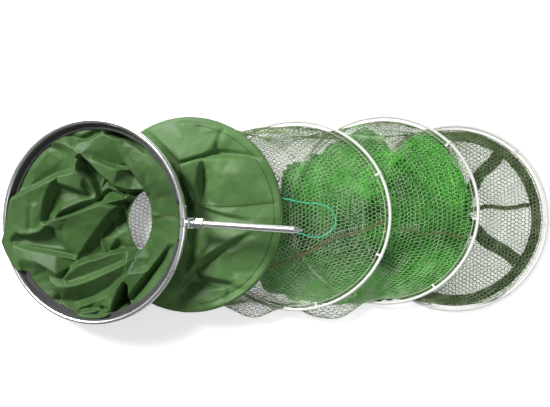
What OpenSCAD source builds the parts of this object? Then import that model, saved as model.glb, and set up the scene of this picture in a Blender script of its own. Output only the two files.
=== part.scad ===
/* [Hoops] */
// Outside diameter of the net hoops
hoop_d = 350; // [320:2:380]
// Thickness of the hoop wire
wire_d = 5.4; // [4.6:0.2:6]
// Outside diameter of the joining ferrule on a hoop wire
ferrule_d = 7; // [6.8:0.1:7.2]
// Length of the joining ferrule
ferrule_len = 30; // [16:1:36]
// Wall of the plastic clips round the wire
clip_wall = 1; // [0.8:0.1:1.2]
// Width of a clip along the hoop
clip_w = 4; // [3:0.5:8]
// Clips on each hoop
clip_count = 7; // [5:1:8]
// Distance from the outside of a hoop in to its edge cord
cord_inset = 10.9; // [10.5:0.1:12]
// Diameter of the edge cord
cord_d = 1.8; // [1.2:0.1:2.2]

/* [Mouth ring] */
// Outside diameter of the mouth ring
mouth_d = 366; // [360:1:380]
// Width of the flat oval mouth tube across the ring
tube_w = 8; // [7:0.5:9]
// Height of the flat oval mouth tube
tube_h = 13; // [12:0.5:15]
// Wall of the mouth tube
tube_wall = 1.2; // [0.8:0.1:2]
// Thickness of the lining tape inside the mouth ring
lining = 1.2; // [0.8:0.1:1.6]
// Width of the lining's lip
lip_w = 8; // [5:0.5:10]

/* [Bracket and spike] */
// Gap in the mouth ring that the swivel block fills
bracket_gap = 14; // [13:0.5:16]
// Length of each bracket sleeve along the ring
sleeve_len = 21.5; // [16:0.5:28]
// Wall of the bracket sleeves
sleeve_wall = 1.3; // [1:0.1:1.5]
// Diameter of the pivot pin
pin_d = 5; // [4:0.5:6]
// Diameter of the swivel block's barrel
barrel_d = 14; // [12:0.5:15]
// Width and height of the swivel block's flange
flange = [18, 14]; // [16:0.5:20]
// Diameter of the threaded stud
stud_d = 8; // [6:1:9]
// Size of the lock nut across its flats
nut_w = 17; // [15:0.5:18]
// Length of the lock nut
nut_len = 14; // [10:0.5:16]
// Diameter of the spike tube
spike_d = 11.5; // [10:0.5:13]
// Length of the spike tube
spike_len = 158; // [120:1:180]
// Length of the spike's conical point
point_len = 14; // [10:1:20]
// Sideways lean of the spike in its plane
spike_lean = 3; // [0:0.5:4]

/* [Lay] */
// Lean of the mouth ring, raised on the spike's side
mouth_lean = 14; // [13.5:0.5:15]
// Lean of the second hoop
lean_2 = 11; // [10:0.5:12]
// Lean of the third hoop
lean_3 = 6.5; // [6:0.5:7]
// Lean of the fourth hoop
lean_4 = 3.5; // [3.4:0.1:4]
// Step from the mouth ring's left rim to the second hoop's
step_2 = 174; // [150:2:190]
// Step from the second hoop's left rim to the third's
step_3 = 193; // [170:2:210]
// Step from the third hoop's left rim to the fourth's
step_4 = 164; // [140:2:190]
// Step from the fourth hoop's left rim to the last one's
step_5 = 136; // [120:2:160]
// Sideways places of the five rings
side = [-6, 6, 4, 14, -1]; // [-20:1:20]

/* [Net and fabric] */
// Thickness of the net and fabric walls
wall = 1.5; // [1:0.1:1.6]
// Thickness of the fabric hem round the second hoop
hem_t = 1.5; // [1.4:0.1:1.8]
// Width of a mesh gap in the base net
base_mesh = 24; // [22:1:40]
// Width of a twine in the base net
base_twine = 2; // [1.5:0.1:3]
// Thickness of the base net
base_t = 1.2; // [0.8:0.1:1.4]
// Width of the webbing band and straps of the base
webbing_w = 18; // [12:1:24]
// Thickness of the webbing
webbing_t = 1.2; // [0.8:0.1:1.4]
// Diameter of the tie cord
tie_d = 2; // [1.6:0.1:2.4]

/* [Hidden] */

$fn = 96;
fit = 0.05;
gap = 0.3;
wire_r = wire_d / 2;
hem_r = wire_r + fit + hem_t;
clip_r = wire_r + clip_wall;

// Each ring: left edge, side place, lean, radius of its centre line, radius of its lowest
// edge, and half the height of the straight part of its section
lean = [mouth_lean, lean_2, lean_3, lean_4, 0];
step = [0, step_2, step_3, step_4, step_5];
left = [for (k = 0, x = 0; k < 5; k = k + 1, x = x + (k < 5 ? step[k] : 0)) x];
tube_r = tube_w / 2;
tube_half = tube_h / 2 - tube_r;
mid_r = [mouth_d / 2 - tube_r, hoop_d / 2 - wire_r, hoop_d / 2 - wire_r,
    hoop_d / 2 - wire_r, hoop_d / 2 - wire_r];
foot_r = [tube_r, hem_r, clip_r, clip_r, clip_r];
half_h = [tube_half, 0, 0, 0, 0];

// The origin is under the middle of the outline of the five rings
reach = [for (k = [0:4]) mid_r[k] + foot_r[k]];
x_mid = (left[4] + 2 * reach[4]) / 2;
y_mid = (max([for (k = [0:4]) side[k] + reach[k]]) + min([for (k = [0:4]) side[k] - reach[k]])) / 2;

// A point of ring k at radius r, angle a and height h above the ring's own plane
function at(k, r, a, h) =
    let (x = mid_r[k] + r * cos(a), z = half_h[k] + h)
    [left[k] + foot_r[k] + 2 * half_h[k] * sin(lean[k]) + x * cos(lean[k]) - z * sin(lean[k]) - x_mid,
        side[k] + r * sin(a) - y_mid,
        foot_r[k] + x * sin(lean[k]) + z * cos(lean[k])];

// Puts its children in the frame of ring k, with the ring's centre as origin
module in_ring(k) {
    translate(at(k, 0, 0, 0)) rotate([0, -lean[k], 0]) children();
}

// Height of ring k's plane over a point, and the point's distance from the ring's axis
function centre(k) = at(k, 0, 0, 0);
function plane_z(k, p) = centre(k)[2] + (p[0] - centre(k)[0]) * tan(lean[k]);
function off_axis(k, p) = norm([(p[0] - centre(k)[0]) / cos(lean[k]), p[1] - centre(k)[1]]);

// Mouth ring and lining

module oval(grow) {
    for (s = [-1, 1]) translate([0, s * tube_half]) circle(tube_r + grow, $fn = 32);
    square([2 * (tube_r + grow), 2 * tube_half], center = true);
}

module oval_arc(grow, from, to) {
    rotate([0, 0, from]) rotate_extrude(angle = to - from) translate([mid_r[0], 0]) oval(grow);
}

plug = 5;
gap_angle = asin(bracket_gap / 2 / mid_r[0]);
plug_angle = asin((bracket_gap / 2 + plug) / mid_r[0]);
sleeve_angle = asin((bracket_gap / 2 + sleeve_len) / mid_r[0]);

module mouth_ring() {
    color("white") in_ring(0) difference() {
        oval_arc(0, plug_angle, 360 - plug_angle);
        oval_arc(-tube_wall, 0, 360);
        rotate([0, 0, rivet_angle]) ring_hole(0);
    }
}

lining_r = mid_r[0] - tube_r - gap - lining;
lip_t = lining;
lining_end = 0.3;

module mouth_lining() {
    from = sleeve_angle + lining_end;
    color("dimgray") in_ring(0) rotate([0, 0, from]) rotate_extrude(angle = 360 - 2 * from) polygon([
        [lining_r + lining, tube_half],
        [lining_r, tube_half],
        [lining_r, lip_t - tube_h / 2 + gap],
        [lining_r - lip_w, lip_t - tube_h / 2 + gap],
        [lining_r - lip_w, gap - tube_h / 2],
        [lining_r + lining, gap - tube_h / 2]
    ]);
}

// Bracket

pin_end = bracket_gap / 2 + plug - 0.4;
bush_gap = 0.05;

module bracket_sleeve(turn) {
    color("white") in_ring(0) mirror([0, turn, 0]) difference() {
        oval_arc(sleeve_wall, gap_angle, sleeve_angle);
        oval_arc(fit, plug_angle, sleeve_angle + 1);
        translate([mid_r[0], 0, 0]) rotate([-90, 0, 0]) cylinder(d = pin_d + 2 * fit, h = pin_end + fit);
        rotate([0, 0, sleeve_rivet_angle]) ring_hole(sleeve_wall);
    }
}

module bracket_sleeve_upper() { bracket_sleeve(0); }
module bracket_sleeve_lower() { bracket_sleeve(1); }

module pivot_pin() {
    color("gray") barrel(pin_d, 2 * pin_end);
}

// A rivet stands on the outer face of the tube or sleeve, its shank in a shallow hole
rivet_d = 4;
rivet_head = 1;
shank_d = 2.4;
shank_len = 1;
rivet_angle = 103;
sleeve_rivet_angle = sleeve_angle - 0.8;

module ring_hole(out) {
    translate([mid_r[0] + tube_r + out - shank_len - fit, 0, 0]) rotate([0, 90, 0])
        cylinder(d = shank_d + 2 * fit, h = shank_len + 2, $fn = 32);
}

module rivet(out, angle) {
    rotate([0, 0, angle]) translate([mid_r[0] + tube_r + out, 0, 0]) rotate([0, 90, 0]) {
        translate([0, 0, 0.1]) cylinder(d = rivet_d, h = rivet_head, $fn = 32);
        translate([0, 0, -shank_len]) cylinder(d = shank_d, h = shank_len + 0.2, $fn = 32);
    }
}

module sleeve_rivets() {
    color("silver") in_ring(0) for (s = [-1, 1]) rivet(sleeve_wall, s * sleeve_rivet_angle);
}

module ring_rivet() {
    color("dimgray") in_ring(0) rivet(0, rivet_angle);
}

// Swivel block and spike, drawn from the pivot outwards along X

flange_from = barrel_d / 2 + 2.5;
flange_t = 4.5;
lug_len = 5.5;
lug_w = 3;
neck_d = 10.5;
block_end = flange_from + flange_t + lug_len;
nut_from = block_end + 2.4;
tube_from = nut_from + nut_len - 2.5;
stud_seat = 8;
stud_in_tube = 24;
point_plug = 18;
spike_wall = 1.4;
dimple_d = 2.4;
dimple_depth = 1;
lug_h = flange[1] - 4;
barrel_play = 0.8;

module at_pivot() {
    in_ring(0) translate([mid_r[0], 0, 0]) children();
}

module in_bracket() {
    at_pivot() rotate([0, 0, -spike_lean]) rotate([0, 90, 0]) children();
}

module barrel(d, h) {
    at_pivot() rotate([90, 0, 0]) cylinder(d = d, h = h, center = true);
}

module swivel_block() {
    color("gainsboro") difference() {
        union() {
            barrel(barrel_d, bracket_gap - 2 * barrel_play);
            in_bracket() block_arm();
        }
        barrel(pin_d + 2 * bush_gap, 2 * bracket_gap);
        in_bracket() translate([0, 0, stud_seat]) cylinder(d = stud_d + 2 * fit, h = block_end);
    }
}

// Neck, flange with a dimple at each side, and the two lugs past the flange
module block_arm() {
    difference() {
        union() {
            cylinder(d = neck_d, h = block_end);
            translate([-flange[1] / 2, -flange[0] / 2, flange_from]) cube([flange[1], flange[0], flange_t]);
            for (s = [-1, 1])
                translate([-lug_h / 2, s * (flange[0] - lug_w) / 2 - lug_w / 2, flange_from + flange_t / 2])
                    cube([lug_h, lug_w, flange_t / 2 + lug_len]);
        }
        for (s = [-1, 1])
            translate([-flange[1] / 2 - 1, s * (flange[0] / 2 - dimple_d), flange_from + flange_t / 2])
                rotate([0, 90, 0]) cylinder(d = dimple_d, h = 1 + dimple_depth, $fn = 32);
    }
}

module spike_stud() {
    color("darkgray") in_bracket() translate([0, 0, stud_seat + fit])
        cylinder(d = stud_d, h = tube_from + stud_in_tube - stud_seat);
}

cup_len = 3;

module lock_nut() {
    color("white") in_bracket() translate([0, 0, nut_from]) difference() {
        intersection() {
            cylinder(d = nut_w / cos(30), h = nut_len, $fn = 6);
            rotate_extrude() polygon([
                [0, 0],
                [nut_w * 0.42, 0],
                [nut_w / cos(30) / 2, nut_w * 0.16],
                [nut_w / cos(30) / 2, nut_len],
                [0, nut_len]
            ]);
        }
        translate([0, 0, -1]) cylinder(d = stud_d + 2 * bush_gap, h = nut_len + 2);
        translate([0, 0, nut_len - cup_len]) cylinder(d = spike_d + 2 * gap, h = cup_len + 1);
    }
}

// The tube is turned down where it stands in the nut's cup
spigot_d = spike_d - 1.9;
spigot_len = 3;

module spike_tube() {
    color("white") in_bracket() translate([0, 0, tube_from]) difference() {
        union() {
            cylinder(d = spigot_d, h = spigot_len + 1);
            translate([0, 0, spigot_len]) cylinder(d = spike_d, h = spike_len - spigot_len);
        }
        translate([0, 0, -1]) cylinder(d = stud_d + 2 * fit, h = stud_in_tube + 2);
        translate([0, 0, stud_in_tube]) cylinder(d = spike_d - 2 * spike_wall, h = spike_len);
    }
}

module spike_point() {
    color("gainsboro") in_bracket() translate([0, 0, tube_from + spike_len]) {
        translate([0, 0, fit]) cylinder(d1 = spike_d, d2 = 1.6, h = point_len);
        translate([0, 0, -point_plug])
            cylinder(d = spike_d - 2 * spike_wall - 2 * fit, h = point_plug + 1);
    }
}

// Hoops

module wire_ring(k, d, r) {
    in_ring(k) rotate_extrude() translate([r, 0]) circle(d = d, $fn = 32);
}

// Sweeps a section centred on the wire along a length of the hoop, about an angle
module arc(k, angle, length) {
    half = length / 2 / mid_r[k] * 180 / PI;
    rotate([0, 0, angle - half]) rotate_extrude(angle = 2 * half) translate([mid_r[k], 0]) children();
}

// The wire's two ends butt inside the ferrule
module ferrule(k, angle) {
    color("silver") in_ring(k) arc(k, angle, ferrule_len) difference() {
        circle(d = ferrule_d, $fn = 32);
        circle(d = wire_d + 2 * fit, $fn = 32);
    }
}

edge_r = hoop_d / 2 - cord_inset;
clip_hook = cord_d / 2 + 0.8;
clip_fit = 0.15;

module clip_set(k, first) {
    color("ivory") in_ring(k) for (i = [0:clip_count - 1])
        arc(k, first + i * 360 / clip_count, clip_w) clip_section(edge_r - mid_r[k]);
}

// A grip round the wire, a bridge, and a grip round the edge cord
module clip_section(inward) {
    difference() {
        union() {
            circle(r = clip_r, $fn = 32);
            translate([inward, -clip_hook]) square([-inward, 2 * clip_hook]);
            translate([inward, 0]) circle(r = clip_hook, $fn = 32);
        }
        circle(d = wire_d + 2 * clip_fit, $fn = 32);
        translate([inward, 0]) circle(d = cord_d + 2 * clip_fit, $fn = 32);
    }
}

module edge_cord(k) { color("beige") wire_ring(k, cord_d, edge_r); }
module hoop_wire(k) { color("ivory") wire_ring(k, wire_d, mid_r[k]); }

module hoop_2_wire() { hoop_wire(1); }
module hoop_3_wire() { hoop_wire(2); }
module hoop_4_wire() { hoop_wire(3); }
module hoop_5_wire() { hoop_wire(4); }
module hoop_3_edge_cord() { edge_cord(2); }
module hoop_4_edge_cord() { edge_cord(3); }
module hoop_5_edge_cord() { edge_cord(4); }

first_clip = [0, 0, 78, 97.5, -106];
ferrule_angle = [0, 160, 155, 174, 124];

module hoop_3_clips() { clip_set(2, first_clip[2]); }
module hoop_4_clips() { clip_set(3, first_clip[3]); }
module hoop_5_clips() { clip_set(4, first_clip[4]); }
module hoop_3_ferrule() { ferrule(2, ferrule_angle[2]); }
module hoop_4_ferrule() { ferrule(3, ferrule_angle[3]); }
module hoop_5_ferrule() { ferrule(4, ferrule_angle[4]); }

// The second hoop is sewn into the fabric's hem, which runs over its ferrule
module hoop_2_ferrule() { ferrule(1, ferrule_angle[1]); }

module hoop_2_hem() {
    color("darkolivegreen") in_ring(1) difference() {
        rotate_extrude() translate([mid_r[1], 0]) circle(r = hem_r, $fn = 32);
        rotate_extrude() translate([mid_r[1], 0]) circle(d = wire_d + 2 * fit, $fn = 32);
        arc(1, ferrule_angle[1], ferrule_len + 2 * gap) circle(d = ferrule_d + 2 * fit, $fn = 32);
    }
}

// Slack walls of fabric and net between two rings, each a shell that stays between the
// planes of its two rings and arches clear of their wires

facet_room = 0.5;
lip_r = lining_r - 0.7 * lip_w;
hem_rest = hem_r + gap + wall / 2;
clip_rest = clip_hook + gap + wall / 2;

// Where each wall starts under its first ring and ends over its second: radius and height
start_r = [lip_r, mid_r[1] - hem_rest * sin(45), edge_r, edge_r];
start_h = [gap - tube_h / 2 - gap - wall / 2, -hem_rest * sin(45), -clip_rest, -clip_rest];
end_r = [mid_r[1], edge_r, edge_r, edge_r];
end_h = [hem_rest + facet_room, clip_rest, clip_rest, clip_rest];

// How far the wall keeps below the first ring and above the second where it passes their
// outsides, and the radius of that place
room = [for (r = foot_r) 1.4 * (r + gap + wall / 2 + facet_room)];
below = [tube_h / 2 + sleeve_wall + gap + wall / 2, room[1], room[2], room[3]];
cross_below = [mid_r[0] - tube_r - sleeve_wall - gap, reach[1], reach[2], reach[3]];
above = [end_h[0], room[2], room[3], room[4]];
relief = 0.25;
floor_clear = wall / 2 + 0.4;
tall = 1000;

// Slack that sags on the low side and swells the wall outwards, and its folds: how deep and
// how many round the tube
sag = [9, 8, 6, 3];
swell = [6, 5, 4, 3];
fold = [5, 3.5, 3, 2];
folds = [9, 11, 10, 8];

// The slumped fabric: its sides fall in over the mouth as two shelves, rippled across, and its
// upper side carries bulges and dips, each [angle, place along, half widths of both, height]
fall_in = [64, 0, 0, 0];
ripple = [4, 0, 0, 0];
bulges = [
    [[28, 0.62, 22, 0.26, 9], [-33, 0.62, 12, 0.3, 9], [-56, 0.72, 12, 0.2, -7], [4, 0.8, 9, 0.18, -5], [34, 0.15, 16, 0.2, 4]],
    [], [], []
];

function bell(x, middle, width) = exp(-pow((x - middle) / width, 2));
function turned(a) = ((a + 180) % 360) - 180;
function total(list) = list * [for (x = list) 1];
function fallen(k, a, v) =
    fall_in[k] * pow(sin(180 * v), 0.9) * pow(sin(a), 6) * (1 - 0.6 * cos(a)) * (1 + 0.09 * sin(a));
function lifted(k, a, v) =
    ripple[k] * sin(6 * a + 250 * v) * pow(sin(a), 2) * sin(180 * v)
    + (len(bulges[k]) == 0 ? 0 : total([
        for (b = bulges[k]) b[4] * bell(turned(a), b[0], b[2]) * bell(v, b[1], b[3]) * sin(180 * v)
    ]));

// Distance kept from a ring's plane: it grows up to the ring's outside and falls off beyond
function arched(r, from_r, from_h, cross, near) =
    r < cross
        ? from_h + (near - from_h) * (r - from_r) / (cross - from_r)
        : near - (r - cross) * relief;

function wall_point(k, a, v) =
    let (
        p = at(k, start_r[k], a, start_h[k]),
        q = at(k + 1, end_r[k], a, end_h[k]),
        out = (swell[k] + fold[k] * sin(folds[k] * a + 200 * v)) * sin(180 * v) - fallen(k, a, v),
        drop = sag[k] * sin(180 * v) * (1 - cos(a)) / 2 - lifted(k, a, v),
        m = p + (q - p) * v + out * [cos(a), sin(a), 0] - [0, 0, drop],
        over = off_axis(k + 1, m),
        under = off_axis(k, m),
        low = over > end_r[k]
            ? plane_z(k + 1, m) + arched(over, end_r[k], end_h[k], reach[k + 1], above[k])
            : k == 0 ? plane_z(k + 1, m) + end_h[k] - (end_r[k] - over) * 0.4 : m[2],
        high = under > start_r[k]
            ? plane_z(k, m) - arched(under, start_r[k], -start_h[k], cross_below[k], below[k])
            : tall
    )
    [m[0], m[1], max(floor_clear, min(max(m[2], low), high))];

// Half the wall's thickness, square to its surface
function wall_side(k, a, v) =
    let (
        dv = 0.01,
        da = 1,
        along = wall_point(k, a, min(1, v + dv)) - wall_point(k, a, max(0, v - dv)),
        round = wall_point(k, a + da, v) - wall_point(k, a - da, v),
        n = cross(round, along)
    )
    wall / 2 * n / norm(n);

// Places round and along each wall, and the bands along the nets that are open between strands
around = 48;
openings_round = 24;
strand_w = 3.2;
half_strand = strand_w / 2 / edge_r * 180 / PI;
fabric_rows = [0, 0.03, 0.075, 0.15, 0.28, 0.42, 0.58, 0.72, 0.85, 0.925, 0.97, 1];
net_rows = [0, 0.03, 0.075, 0.34, 0.358, 0.642, 0.66, 0.925, 0.97, 1];
open_bands = [2, 4, 6];
even_turns = [for (i = [0:around - 1]) i * 360 / around];
strand_turns = [for (i = [0:openings_round - 1], side = [-1, 1]) i * 360 / openings_round + side * half_strand];

// A wall over a grid of turns and rows; in each open band every second cell round is a gap
module slack_wall(k, turns, rows, open) {
    n = len(turns);
    m = len(rows);
    points = [for (side = [1, -1], v = rows, a = turns) wall_point(k, a, v) + side * wall_side(k, a, v)];
    function corner(side, j, i) = (side * m + j) * n + i % n;
    function gap_at(j, i) = i % 2 == 1 && len([for (band = open) if (band == j) 1]) > 0;
    function rim(j, from, to) = [
        for (i = [0:n - 1])
            let (a = corner(from, j, i), b = corner(from, j, i + 1), c = corner(to, j, i + 1), d = corner(to, j, i))
            each [[a, c, b], [a, d, c]]
    ];
    faces = [
        for (j = [0:m - 2], i = [0:n - 1])
            let (
                a = corner(0, j, i), b = corner(0, j, i + 1), c = corner(0, j + 1, i + 1), d = corner(0, j + 1, i),
                back = n * m
            )
            each gap_at(j, i)
                ? [
                    for (e = [[a, b], [b, c], [c, d], [d, a]])
                        each [[e[1], e[0], e[0] + back], [e[1], e[0] + back, e[1] + back]]
                ]
                : [[a, c, b], [a, d, c], [a + back, b + back, c + back], [a + back, c + back, d + back]],
        each rim(0, 1, 0),
        each rim(m - 1, 0, 1)
    ];
    polyhedron(points, faces, convexity = 10);
}

module fabric_sleeve() { color("darkolivegreen") slack_wall(0, even_turns, fabric_rows, []); }
module net_2_3() { color("mediumseagreen") slack_wall(1, strand_turns, net_rows, open_bands); }
module net_3_4() { color("limegreen") slack_wall(2, strand_turns, net_rows, open_bands); }
module net_4_5() { color("palegreen") slack_wall(3, strand_turns, net_rows, open_bands); }

// Tie cord

tie_points = [
    [10, 35, 67.5], [18, 33, 67.2], [28, 31, 67], [41, 28, 65.8], [57, 26, 64], [73, 25, 62.2],
    [85, 22, 60.8], [95, 15, 59.8], [102, 5, 59.2], [104, -7, 58.8], [100, -17, 58.8],
    [93, -25, 59], [84, -31, 59.6], [73, -34, 60.8], [59, -32, 62.6], [45, -28, 64.4],
    [29, -24, 66.4], [18, -21, 67.2], [10, -20, 67.5]
];

function spline(p, i, t) =
    let (
        a = p[max(0, i - 1)],
        b = p[i],
        c = p[i + 1],
        d = p[min(len(p) - 1, i + 2)]
    )
    0.5 * (2 * b + (c - a) * t + (2 * a - 5 * b + 4 * c - d) * t * t + (3 * b - a - 3 * c + d) * t * t * t);

module tube_along(path, d, sides) {
    n = len(path);
    way = [for (i = [0:n - 1]) let (w = path[min(n - 1, i + 1)] - path[max(0, i - 1)]) w / norm(w)];
    across = [for (w = way) let (u = cross([0, 0, 1], w)) u / norm(u)];
    rings = [
        for (i = [0:n - 1], s = [0:sides - 1])
            let (u = across[i], v = cross(way[i], u), a = 360 * s / sides)
            path[i] + d / 2 * (cos(a) * u + sin(a) * v)
    ];
    skin = [
        for (i = [0:n - 2], s = [0:sides - 1])
            let (a = i * sides + s, b = i * sides + (s + 1) % sides)
            each [[a, b + sides, b], [a, a + sides, b + sides]]
    ];
    caps = [
        [for (s = [0:sides - 1]) s],
        [for (s = [sides - 1:-1:0]) (n - 1) * sides + s]
    ];
    polyhedron(rings, concat(skin, caps), convexity = 6);
}

module tie_loop() {
    ends = len(tie_points) - 1;
    path = [for (i = [0:ends - 1], t = [0:0.25:0.9]) spline(tie_points, i, t), tie_points[ends]];
    color("mediumaquamarine") tube_along(path, tie_d, 8);
}

// Base of the last section

base_r = edge_r;
base_z = -clip_hook - gap - base_t;
band_r = edge_r - clip_hook - gap;
strap_angles = [98, 53, 8, -37, -127, 143, 188];

module base_net() {
    pitch = base_mesh + base_twine;
    cells = ceil(base_r / pitch * 1.5);
    color("seagreen") in_ring(4) translate([0, 0, base_z]) linear_extrude(base_t) difference() {
        circle(base_r);
        intersection() {
            circle(base_r - base_twine);
            rotate(45) for (i = [-cells:cells], j = [-cells:cells])
                translate([i, j] * pitch) square(base_mesh, center = true);
        }
    }
}

module base_band() {
    color("darkgreen") in_ring(4) translate([0, 0, base_z + base_t + fit]) linear_extrude(webbing_t) difference() {
        circle(band_r);
        circle(band_r - webbing_w);
    }
}

module base_straps() {
    color("darkgreen") in_ring(4) translate([0, 0, base_z + base_t + fit]) linear_extrude(webbing_t) {
        circle(webbing_w);
        for (a = strap_angles) rotate(a) intersection() {
            translate([0, -webbing_w / 2]) square([band_r, webbing_w]);
            circle(band_r - webbing_w - fit);
        }
    }
}

mouth_ring();
mouth_lining();
bracket_sleeve_upper();
bracket_sleeve_lower();
sleeve_rivets();
ring_rivet();
pivot_pin();
swivel_block();
spike_stud();
lock_nut();
spike_tube();
spike_point();
fabric_sleeve();
hoop_2_wire();
hoop_2_ferrule();
hoop_2_hem();
tie_loop();
net_2_3();
hoop_3_wire();
hoop_3_ferrule();
hoop_3_clips();
hoop_3_edge_cord();
net_3_4();
hoop_4_wire();
hoop_4_ferrule();
hoop_4_clips();
hoop_4_edge_cord();
net_4_5();
hoop_5_wire();
hoop_5_ferrule();
hoop_5_clips();
hoop_5_edge_cord();
base_net();
base_band();
base_straps();
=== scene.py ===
"""A collapsed fishing keepnet lying on a white floor, seen from straight above.

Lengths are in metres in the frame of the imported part: X along the net, Y across, Z up.
"""

import math

import bmesh
import bpy
import numpy as np
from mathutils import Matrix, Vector
from mathutils.geometry import delaunay_2d_cdt


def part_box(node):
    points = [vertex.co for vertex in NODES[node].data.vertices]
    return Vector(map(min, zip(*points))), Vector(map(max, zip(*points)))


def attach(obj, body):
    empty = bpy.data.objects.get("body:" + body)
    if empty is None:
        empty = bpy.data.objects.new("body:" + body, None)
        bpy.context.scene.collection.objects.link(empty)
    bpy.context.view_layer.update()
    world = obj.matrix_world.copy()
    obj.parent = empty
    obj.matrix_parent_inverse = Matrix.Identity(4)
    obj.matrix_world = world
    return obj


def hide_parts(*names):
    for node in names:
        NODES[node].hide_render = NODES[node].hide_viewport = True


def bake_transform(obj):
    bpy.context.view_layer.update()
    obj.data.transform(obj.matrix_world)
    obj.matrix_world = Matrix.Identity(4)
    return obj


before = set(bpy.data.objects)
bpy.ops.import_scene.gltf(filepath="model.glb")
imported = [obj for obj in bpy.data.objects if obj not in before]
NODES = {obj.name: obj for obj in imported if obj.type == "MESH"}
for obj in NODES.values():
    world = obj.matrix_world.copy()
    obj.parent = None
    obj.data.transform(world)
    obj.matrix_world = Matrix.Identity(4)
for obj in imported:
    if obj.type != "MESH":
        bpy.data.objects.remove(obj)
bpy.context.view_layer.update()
MM = 0.001

# ---------------------------------------------------------------- camera, light and floor

CAMERA = (-0.003, 0.0256, 0.94)
HALF_ANGLE = math.radians(28.8)
SENSOR = 36.0
VIEW_W, VIEW_H = 550, 407
FLOOR_PER_PIXEL = 2 * CAMERA[2] * math.tan(HALF_ANGLE) / VIEW_W


def seen(x, y, z):
    """The frame point at height z that the camera shows at pixel (x, y) of a 550 x 407 view."""
    drop = (CAMERA[2] - z) / CAMERA[2] * FLOOR_PER_PIXEL
    return np.array([CAMERA[0] + (x - VIEW_W / 2) * drop, CAMERA[1] - (y - VIEW_H / 2) * drop, z])


def make_camera():
    data = bpy.data.cameras.new("view_camera")
    data.sensor_width = SENSOR
    data.lens = SENSOR / 2 / math.tan(HALF_ANGLE)
    data.clip_start, data.clip_end = 0.05, 20
    camera = bpy.data.objects.new("view_camera", data)
    camera.location = CAMERA
    bpy.context.scene.collection.objects.link(camera)
    bpy.context.scene.camera = camera


def add_node(tree, kind, *feeds, **properties):
    """A new node, its inputs fed by (socket, value) pairs; a value may be another node's output."""
    made = tree.nodes.new(kind)
    for name, value in properties.items():
        setattr(made, name, value)
    for socket, value in feeds:
        feed(tree, made.inputs[socket], value)
    return made


def feed(tree, socket, value):
    if isinstance(value, bpy.types.NodeSocket):
        tree.links.new(value, socket)
    else:
        socket.default_value = value


def camera_mix(tree, lit, shown, target):
    """Joins two shaders: camera rays see the second one and all other rays the first."""
    rays = add_node(tree, "ShaderNodeLightPath").outputs["Is Camera Ray"]
    mix = add_node(tree, "ShaderNodeMixShader", (0, rays), (1, lit.outputs[0]), (2, shown.outputs[0]))
    tree.links.new(mix.outputs[0], target.inputs[0])


WORLD_STRENGTH = 0.19
FLOOR_SIZE = 8.0
FLOOR_DROP = 0.0004
FLOOR_GLOW = 0.5

# Name, place, size and watts
LAMPS = [("key_light", (-1.3, 1.15, 1.25), 0.7, 66), ("fill_light", (1.3, -0.5, 1.7), 1.4, 12)]


def make_light():
    world = bpy.data.worlds.new("studio")
    bpy.context.scene.world = world
    world.use_nodes = True
    tree = world.node_tree
    tree.nodes.clear()
    place = add_node(tree, "ShaderNodeNewGeometry").outputs["Position"]
    split = add_node(tree, "ShaderNodeSeparateXYZ", (0, place))
    ramp = add_node(tree, "ShaderNodeValToRGB", (0, split.outputs[2]))
    low, high = ramp.color_ramp.elements
    low.position, low.color = 0.05, (0.45, 0.45, 0.46, 1)
    high.position, high.color = 0.85, (1, 1, 1, 1)
    light = add_node(tree, "ShaderNodeBackground", ("Color", ramp.outputs[0]), ("Strength", WORLD_STRENGTH))
    white = add_node(tree, "ShaderNodeBackground", ("Color", (1, 1, 1, 1)))
    camera_mix(tree, light, white, add_node(tree, "ShaderNodeOutputWorld"))
    for name, place, size, watts in LAMPS:
        data = bpy.data.lights.new(name, "AREA")
        data.energy, data.size = watts, size
        lamp = bpy.data.objects.new(name, data)
        lamp.location = place
        lamp.rotation_euler = (-Vector(place)).to_track_quat("-Z", "Y").to_euler()
        bpy.context.scene.collection.objects.link(lamp)


def make_floor():
    mesh = bpy.data.meshes.new("floor")
    corners = [(FLOOR_SIZE * x, FLOOR_SIZE * y, 0) for x, y in ((-1, -1), (1, -1), (1, 1), (-1, 1))]
    mesh.from_pydata(corners, [], [(0, 1, 2, 3)])
    floor = bpy.data.objects.new("floor", mesh)
    bpy.context.scene.collection.objects.link(floor)
    floor.location.z = -FLOOR_DROP
    material = bpy.data.materials.new("floor_white")
    material.use_nodes = True
    tree = material.node_tree
    shader = tree.nodes["Principled BSDF"]
    for socket, value in (("Base Color", (0.9, 0.9, 0.9, 1)), ("Roughness", 0.9), ("Specular IOR Level", 0.1)):
        shader.inputs[socket].default_value = value
    glow = add_node(tree, "ShaderNodeEmission", ("Strength", FLOOR_GLOW))
    add = add_node(tree, "ShaderNodeAddShader", (0, shader.outputs[0]), (1, glow.outputs[0]))
    camera_mix(tree, shader, add, tree.nodes["Material Output"])
    mesh.materials.append(material)


make_camera()
make_light()
make_floor()
bpy.context.scene.view_settings.view_transform = "Standard"

# ---------------------------------------------------------------- materials


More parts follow.
